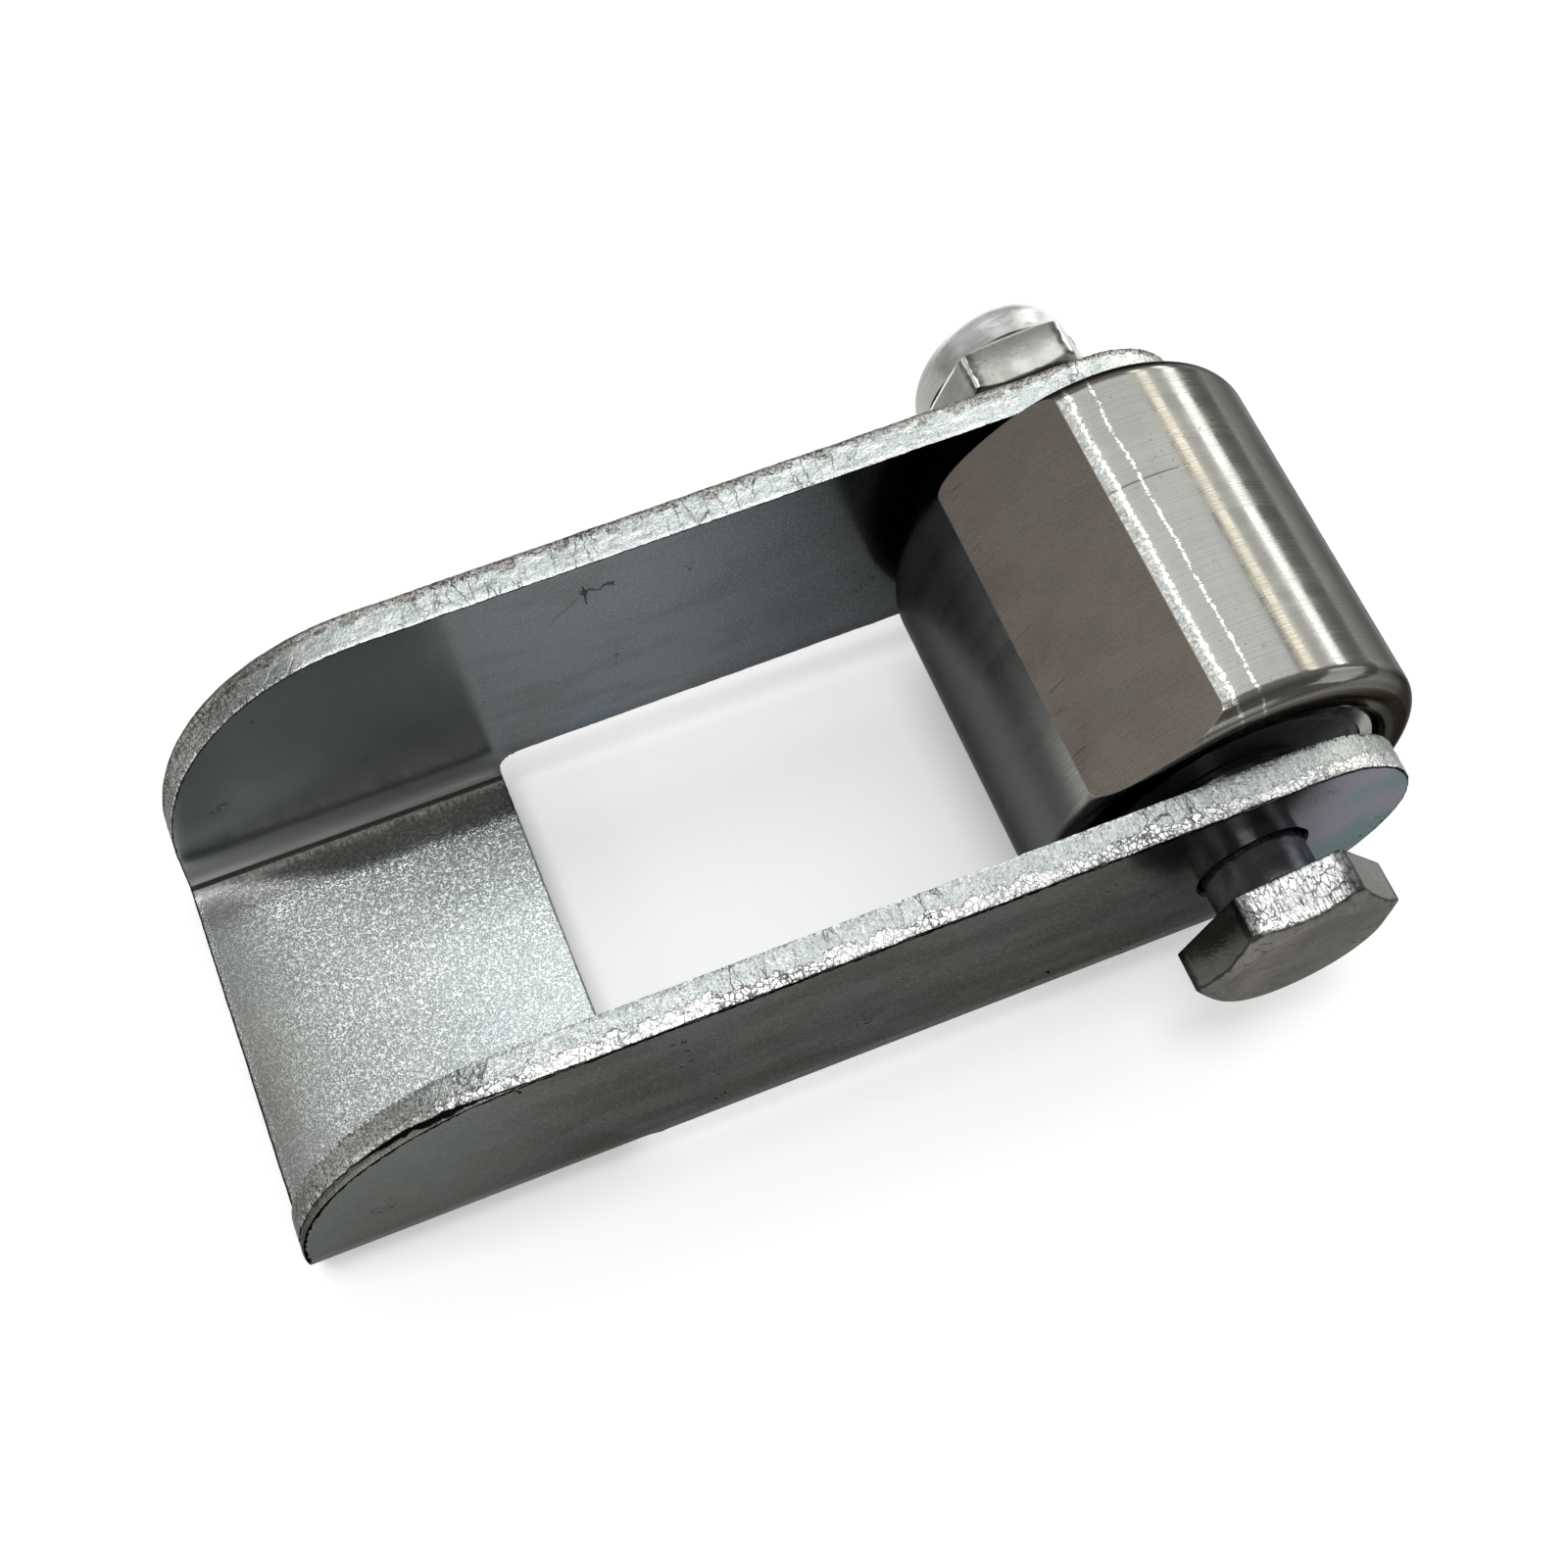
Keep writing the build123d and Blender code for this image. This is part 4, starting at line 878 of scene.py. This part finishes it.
def makeBoltFinish():
    # zinc on forged steel: a little rougher than on the sheet
    material, add, shader = newMaterial("bright_zinc_plated_bolt", 1.0)
    f = boltFinish
    underside = boltShape["headUnderside"]
    centred, side, along, radial = axisParts(add)
    onTop = topFlat(add, centred)
    specks = add("TexNoise", centred, *f["speckGrain"])
    clouds = add("TexNoise", centred, *f["cloudGrain"])
    drawn = add("TexNoise", add("Mapping", centred, Scale=f["drawnStretch"]), *f["drawnGrain"])
    # the crackled top flat: cells drawn out along the bolt, over a finer drawn grain; its light colours are
    # partly painted highlight
    sway = add("TexNoise", centred, *f["swayGrain"], output="Color")
    sway = add("VectorMath", sway, operation="SCALE", Scale=f["swayReach"])
    swayed = add("Mapping", add("VectorMath", centred, sway, operation="ADD"), Scale=f["crackStretch"])
    cells = add("TexVoronoi", swayed, 1 / f["crackSize"], feature="DISTANCE_TO_EDGE")
    cracks = add("times", add("ramp", cells, *f["crackWidth"]), add("ramp", clouds, *f["crackShare"]))
    crackle = add("blend", add("ramp", drawn, *f["drawnLight"]), f["crackle"], f["bright"])
    crackle = add("blend", cracks, crackle, f["dark"])
    crackle = add("blend", add("ramp", drawn, *f["drawnDark"]), crackle, f["dark"])
    smooth = add("blend", add("ramp", specks, *f["smoothSpecks"]), f["smooth"], f["dark"])
    # painted shade: the flats on the left side darker
    smooth = add("blend", add("ramp", side, *f["leftSide"]), smooth, f["leftFlat"])
    # the chamfer cone starts the dull face, with a dark line of painted shade where it meets each flat
    cone = add("larger", add("minus", radial, boltShape["faceRadius"]), 0.0)
    cone = add("times", cone, coneSlope)
    cone = add("minus", along, add("plus", boltLow.y, cone))
    onFace = add("ramp", cone, *f["onFace"])
    colour = add("blend", onFace, add("blend", onTop, smooth, crackle),
                 boltFace(add, centred, specks, clouds))
    wander = add("minus", add("TexNoise", centred, *f["wanderGrain"]), 0.5)
    wander = add("times", wander, f["wanderReach"])
    rim = add("minus", add("plus", cone, wander), f["rimAt"])
    rim = add("ramp", add("absolute", rim), *f["rimWidth"])
    rim = add("times", rim, add("ramp", radial, *f["rimZone"]))
    corner = add("ramp", add("plus", radial, wander), *f["cornerZone"])
    back = add("minus", add("minus", along, wander), underside)
    back = add("ramp", back, *f["backEdge"])
    # painted shade: dark lines along the rim, the hexagon's corners and the head's edge by its underside
    edges = add("larger", rim, add("larger", corner, back))
    colour = add("blend", edges, colour, f["dark"])
    head = add("Math", along, underside + f["headGap"], operation="LESS_THAN")
    shank = add("blend", add("ramp", clouds, *f["shankClouds"]), f["shank"], f["dark"])
    rough = add("plus", add("ramp", clouds, *f["roughness"]), add("times", onFace, f["faceRough"]))
    drawnHeight = add("times", onTop, add("times", head, f["drawnHeight"]))
    drawnHeight = add("times", drawn, drawnHeight)
    cloudHeight = add("times", clouds, add("ramp", onFace, *f["faceHeight"]))
    height = add("plus", drawnHeight, cloudHeight)
    height = add("plus", height, add("times", specks, f["speckHeight"]))
    height = add("minus", height, add("times", corner, f["cornerDepth"]))
    setInputs(shader, {"Base Color": add("blend", head, shank, colour), "Roughness": rough,
                       "Specular Tint": f["edgeTint"],
                       "Normal": add("Bump", Distance=f["bumpDepth"] * mm, Height=height)})
    return material


def makeBolt():
    b = boltShape
    outer, tip = boltLow.y, boltHigh.y
    under, shank, core = b["headUnderside"], b["shankRadius"], b["threadRadius"] - b["threadDepth"]
    threadStart = tip - b["threadLength"]
    bm = bmesh.new()
    first = hexRing(bm, b["acrossFlats"], b["turn"], b["sideCuts"], under - b["washer"])
    ring = nextRing(bm, first, slope=(b["faceRadius"], coneSlope, outer))
    # the face, its rim and its shallow dish
    for radius, y in ((b["faceRadius"], outer), (b["faceRadius"] - b["dishRim"], outer + b["dishSlope"]),
                      (b["dishRadius"], outer + b["dishDepth"])):
        ring = nextRing(bm, ring, radius=radius, y=y)
    bmesh.ops.contextual_create(bm, geom=ring)
    # washer face, fillet, shank, and the core inside the thread
    profile = [(b["washerRadius"] + b["washerRound"], under - b["washer"]),
               (b["washerRadius"], under - b["washerRound"]),
               (b["washerRadius"] - 2 * b["washerRound"], under), (shank + b["fillet"], under),
               (shank + b["filletStep"], under + b["filletRise"]), (shank, under + b["filletLength"]),
               (shank, threadStart - b["runOut"]), (core + b["coreSpare"], threadStart + b["runIn"]),
               (core + b["endSpare"], tip - b["endChamfer"] / 2), (core - b["endDrop"], tip)]
    ring = first
    for radius, y in profile:
        ring = nextRing(bm, ring, radius=radius, y=y)
    bmesh.ops.contextual_create(bm, geom=ring)
    bmesh.ops.recalc_face_normals(bm, faces=bm.faces)
    softenEdges(bm, b["edgeSoftness"], 3, under)
    # the thread is one turned profile whose turn climbs by a pitch, so its rows meet
    turns = int((b["threadLength"] - b["endChamfer"]) / b["pitch"]) - 1
    profile = []
    for i in range(turns):
        base = threadStart + i * b["pitch"]
        profile += [(b["threadRadius"], base), (b["threadRadius"], base + b["crest"]),
                    (core, base + b["rootFrom"]), (core, base + b["rootTo"])]
    profile.append((b["threadRadius"], threadStart + turns * b["pitch"]))
    line = [bm.verts.new((radius, y, 0)) for radius, y in profile]
    edges = [bm.edges.new(pair) for pair in zip(line, line[1:])]
    bmesh.ops.spin(bm, geom=line + edges, cent=(0, 0, 0), axis=(0, 1, 0), angle=2 * math.pi, use_merge=False,
                   dvec=(0, b["pitch"] / b["threadSteps"], 0), steps=b["threadSteps"])
    bmesh.ops.remove_doubles(bm, verts=bm.verts, dist=b["weldReach"])
    bmesh.ops.recalc_face_normals(bm, faces=bm.faces)
    bmesh.ops.translate(bm, verts=bm.verts, vec=(pivot.x, 0, pivot.z))
    return finishPiece("hex_bolt", bm, [makeBoltFinish()], "bolt_set", "bolt")


boltPiece = makeBolt()
print("bolt made", len(boltPiece.data.vertices))

# Lock nut: hexagon chamfered on both sides, with a round collar rolled over its nylon ring
nutShape = {"acrossFlats": 17.0, "turn": 4.0, "hexHeight": 5.3, "chamferRadius": 8.1, "chamferGap": 0.15,
            "backSlope": -0.42, "collarRadius": 8.4, "collarFoot": 0.06, "footHeight": 0.25,
            "collarRound": 2.6, "roundSteps": 8, "farGap": 0.03, "boreRadius": 4.95, "boreChamfer": 0.3,
            "mouthRadius": 5.9, "mouthRound": 0.1, "seatRadius": 6.5, "seatHeight": 2.4, "lip": 0.6,
            "edgeSoftness": 0.14, "sideCuts": 15, "weldReach": 0.002}

# Lock nut: dull smooth flats, darker on the left as painted shade, with bright edges that are partly wear and
# partly painted highlight, and a collar with long bright and brown streaks
nutFinish = {
    "flat": "#BCBEB7", "shade": "#9B9B93", "flatLeft": "#555550", "collarLeft": "#605D57",
    "streak": "#FFFFFF", "brown": "#6E6459", "dark": "#30302D", "speckGrain": (1 / 0.3, 2.0, 0.6),
    "cloudGrain": (1 / 3.0, 3.0, 0.6), "rolledGrain": (1 / 0.55, 3.0, 0.6), "rolledStretch": (0.12, 1, 0.12),
    "wanderGrain": (1 / 1.0, 2.0), "wanderReach": 0.25,
    # ramps in millimetres: beside the axis, from the axis, past the near end, past the hexagon's end
    "flatSide": (-3, -7, 0.0, 0.7), "collarSide": (-4, -7.5, 0.0, 0.7), "cornerZone": (9.35, 9.55),
    "wornHighlightEdge": (9.66, 9.72, 0.0, 0.9), "seatEdge": (0.55, 0.35, 0.0, 0.8), "onCollar": (-0.05, 0.1),
    "lineAt": -0.35, "lineWidth": (0.16, 0.04, 0.0, 0.8),
    # ramps on a grain
    "cloudShade": (0.35, 0.65, 0.0, 0.7), "pits": (0.35, 0.28, 0.0, 0.5),
    "cornerShare": (0.4, 0.6, 0.35, 0.8), "collarClouds": (0.35, 0.65, 0.35, 0.8),
    "collarStreaks": (0.55, 0.66, 0.0, 0.6), "collarBrown": (0.38, 0.30, 0.0, 0.45),
    "roughness": (0.3, 0.7, 0.24, 0.36), "cloudHeight": 1.2, "speckHeight": 0.2, "rolledHeight": 0.25,
    "bumpDepth": 0.05}


def makeNutFinish():
    # zinc on a pressed nut, its collar burnished where it was rolled
    material, add, shader = newMaterial("bright_zinc_plated_lock_nut", 1.0)
    f = nutFinish
    centred, side, along, radial = axisParts(add)
    specks = add("TexNoise", centred, *f["speckGrain"])
    clouds = add("TexNoise", centred, *f["cloudGrain"])
    rolled = add("TexNoise", add("Mapping", centred, Scale=f["rolledStretch"]), *f["rolledGrain"])
    wander = add("minus", add("TexNoise", centred, *f["wanderGrain"]), 0.5)
    wander = add("times", wander, f["wanderReach"])
    flat = add("blend", add("ramp", clouds, *f["cloudShade"]), f["flat"], f["shade"])
    flat = add("blend", add("ramp", specks, *f["pits"]), flat, f["dark"])
    # painted shade: the flats darker on the left side
    flat = add("blend", add("ramp", side, *f["flatSide"]), flat, f["flatLeft"])
    edge = add("plus", radial, wander)
    corner = add("times", add("ramp", edge, *f["cornerZone"]), add("ramp", clouds, *f["cornerShare"]))
    flat = add("blend", corner, flat, f["dark"])
    # bright corner edges: partly wear, partly painted highlight where the bevels catch light
    flat = add("blend", add("ramp", edge, *f["wornHighlightEdge"]), flat, f["streak"])
    swayed = add("plus", along, wander)
    seat = add("minus", swayed, nutLow.y)
    # painted shade: the flats darker along the end that sits against the ear
    flat = add("blend", add("ramp", seat, *f["seatEdge"]), flat, f["dark"])
    collar = add("blend", add("ramp", clouds, *f["collarClouds"]), f["flat"], f["streak"])
    collar = add("blend", add("ramp", rolled, *f["collarStreaks"]), collar, f["streak"])
    collar = add("blend", add("ramp", rolled, *f["collarBrown"]), collar, f["brown"])
    # painted shade: the collar darker on the left side
    collar = add("blend", add("ramp", side, *f["collarSide"]), collar, f["collarLeft"])
    past = add("minus", swayed, nutLow.y + nutShape["hexHeight"])
    onCollar = add("ramp", past, *f["onCollar"])
    colour = add("blend", onCollar, flat, collar)
    # a bright line along the hexagon's end, painted highlight where its chamfer catches light
    line = add("absolute", add("minus", past, f["lineAt"]))
    colour = add("blend", add("ramp", line, *f["lineWidth"]), colour, f["streak"])
    collarHeight = add("times", add("times", rolled, onCollar), f["rolledHeight"])
    height = add("plus", add("times", specks, f["speckHeight"]), collarHeight)
    height = add("plus", add("times", clouds, f["cloudHeight"]), height)
    setInputs(shader, {"Base Color": colour, "Roughness": add("ramp", clouds, *f["roughness"]),
                       "Normal": add("Bump", Distance=f["bumpDepth"] * mm, Height=height)})
    return material


def makeNut():
    n = nutShape
    near, far = nutLow.y, nutHigh.y - n["farGap"]
    hexEnd = near + n["hexHeight"]
    bm = bmesh.new()
    first = hexRing(bm, n["acrossFlats"], n["turn"], n["sideCuts"], near)
    for vert in bm.verts:
        vert.co.y = near + max(0, math.hypot(vert.co.x, vert.co.z) - n["chamferRadius"]) * coneSlope
    ring = nextRing(bm, first, slope=(n["collarRadius"] + n["chamferGap"], n["backSlope"], hexEnd))
    # the collar with its rolled end, the nylon ring's seat and the bore
    roundY = far - n["collarRound"]
    seatEnd = far - n["lip"]
    profile = [(n["collarRadius"] + n["collarFoot"], hexEnd), (n["collarRadius"], hexEnd + n["footHeight"]),
               (n["collarRadius"], roundY)]
    for i in range(1, n["roundSteps"] + 1):
        angle = math.pi / 2 * i / n["roundSteps"]
        rolled = n["collarRadius"] - n["collarRound"] * (1 - math.cos(angle))
        rolled = max(rolled, n["mouthRadius"] + n["mouthRound"] / 2)
        profile.append((rolled, roundY + n["collarRound"] * math.sin(angle)))
    profile += [(n["mouthRadius"], far - n["mouthRound"]), (n["mouthRadius"], seatEnd),
                (n["seatRadius"], seatEnd), (n["seatRadius"], seatEnd - n["seatHeight"]),
                (n["boreRadius"], seatEnd - n["seatHeight"]), (n["boreRadius"], near + n["boreChamfer"]),
                (n["boreRadius"] + n["boreChamfer"], near)]
    for radius, y in profile:
        ring = nextRing(bm, ring, radius=radius, y=y)
    ring = first
    for radius in (n["chamferRadius"], n["boreRadius"] + n["boreChamfer"]):
        ring = nextRing(bm, ring, radius=radius, y=near)
    bmesh.ops.remove_doubles(bm, verts=bm.verts, dist=n["weldReach"])
    bmesh.ops.recalc_face_normals(bm, faces=bm.faces)
    softenEdges(bm, n["edgeSoftness"], 2)
    bmesh.ops.translate(bm, verts=bm.verts, vec=(pivot.x, 0, pivot.z))
    return finishPiece("lock_nut_body", bm, [makeNutFinish()], "bolt_set", "lock_nut")


nutPiece = makeNut()
print("lock nut made", len(nutPiece.data.vertices))

# Studio: a pale floor under the web's end and the barrel, an even grey room and soft lamps around it
studio = {"floorSize": 6.0, "floorShade": "#E6E7E7", "floorGlow": 0.22, "white": "#FFFFFF",
          "floorRoughness": 0.9, "floorGap": 0.00002, "room": 0.42, "centre": (0.045, 0.0, 0.015),
          "reach": 1.4}
# each lamp: where it hangs seen from the hinge, width across X, length along Y, radiance, tint
lamps = {"overhead_softbox": ((0.34, 0.47, 0.80), 1.05, 0.52, 1.3, "#FAFCFF"),
         "web_softbox": ((-0.11, 0.45, 0.89), 0.30, 0.50, 1.2, "#F8FBFA"),
         "ceiling_tube": ((0.1015, 0.47, 0.877), 0.10, 0.70, 0.7, "#FFFFFF"),
         "warm_tube": ((0.70, 0.47, 0.535), 0.13, 0.70, 3.0, "#FFF4E2"),
         "window_slit": ((0.836, 0.47, 0.285), 0.16, 0.70, 4.2, "#FFFFFF"),
         "window_glow": ((0.78, 0.47, 0.40), 0.40, 0.70, 0.8, "#FFFFFF"),
         "zenith_panel": ((-0.20, -0.03, 0.98), 0.66, 0.52, 5.5, "#FFFFFF"),
         "front_panel": ((0.05, -0.93, 0.36), 1.20, 0.60, 1.1, "#FFFFFF"),
         "left_panel": ((-0.93, -0.15, 0.34), 0.60, 1.20, 1.7, "#FFFFFF"),
         "right_panel": ((0.90, -0.30, 0.32), 0.60, 1.00, 1.8, "#FFFFFF")}


def addLamp(name, direction, width, length, radiance, tint):
    lamp = bpy.data.lights.new(name, "AREA")
    lamp.shape = "RECTANGLE"
    lamp.size, lamp.size_y = width, length
    lamp.energy = math.pi * width * length * radiance
    lamp.color = linear(tint)[:3]
    holder = bpy.data.objects.new(name, lamp)
    outward = Vector(direction).normalized()
    alongY = (Vector((0, 1, 0)) - outward * outward.y).normalized()
    turn = Matrix((alongY.cross(outward), alongY, outward)).transposed()
    place = Vector(studio["centre"]) + outward * studio["reach"]
    holder.matrix_world = Matrix.Translation(place) @ turn.to_4x4()
    bpy.context.scene.collection.objects.link(holder)


def makeStudio():
    reach = math.hypot(pivot.x - yokeLow.x, pivot.z)
    tilt = math.asin(barrelRadius / reach) - math.atan2(pivot.z, pivot.x - yokeLow.x)
    bm = bmesh.new()
    bmesh.ops.create_grid(bm, x_segments=4, y_segments=4, size=studio["floorSize"] / 2)
    bmesh.ops.rotate(bm, verts=bm.verts, cent=(0, 0, 0), matrix=Matrix.Rotation(tilt, 3, "Y"))
    bmesh.ops.translate(bm, verts=bm.verts, vec=(yokeLow.x * mm, 0, -studio["floorGap"]))
    mesh = bpy.data.meshes.new("pale_floor")
    bm.to_mesh(mesh)
    bm.free()
    floor = bpy.data.objects.new("pale_floor", mesh)
    bpy.context.scene.collection.objects.link(floor)
    # white and faintly glowing to the camera and in mirrors, plain grey to the light it passes on
    material, add, shader = newMaterial("matt_white_board", 0.0, studio["floorRoughness"])
    seen = add("larger", add("LightPath", output="Is Camera Ray"), add("LightPath", output="Is Glossy Ray"))
    seen = add("larger", seen, add("LightPath", output="Is Transmission Ray"))
    setInputs(shader, {"Base Color": add("blend", seen, studio["floorShade"], studio["white"]),
                       "Emission Color": studio["white"],
                       "Emission Strength": add("times", seen, studio["floorGlow"])})
    mesh.materials.append(material)
    world = bpy.data.worlds.new("pale_room")
    bpy.context.scene.world = world
    world.use_nodes = True
    setInputs(world.node_tree.nodes["Background"], {"Color": (studio["room"],) * 3 + (1.0,)})
    for name, settings in lamps.items():
        addLamp(name, *settings)


makeStudio()

# Camera as the photograph was taken: close above the near side, the frame cropped low
view = {"place": (0.0168656, -0.0691733, 0.140797), "turn": (15.8024, 0.9769, -21.9196), "lens": 34.161,
        "sensor": 36.0, "shift": (-0.00731, 0.24598), "nearest": 0.001}


def makeCamera():
    camera = bpy.data.cameras.new("photo_camera")
    camera.sensor_width = view["sensor"]
    camera.lens = view["lens"]
    camera.shift_x, camera.shift_y = view["shift"]
    camera.clip_start = view["nearest"]
    holder = bpy.data.objects.new("photo_camera", camera)
    holder.location = view["place"]
    holder.rotation_euler = [math.radians(a) for a in view["turn"]]
    bpy.context.scene.collection.objects.link(holder)
    bpy.context.scene.camera = holder


makeCamera()
bpy.context.scene.view_settings.view_transform = "Standard"
print("studio and camera set")
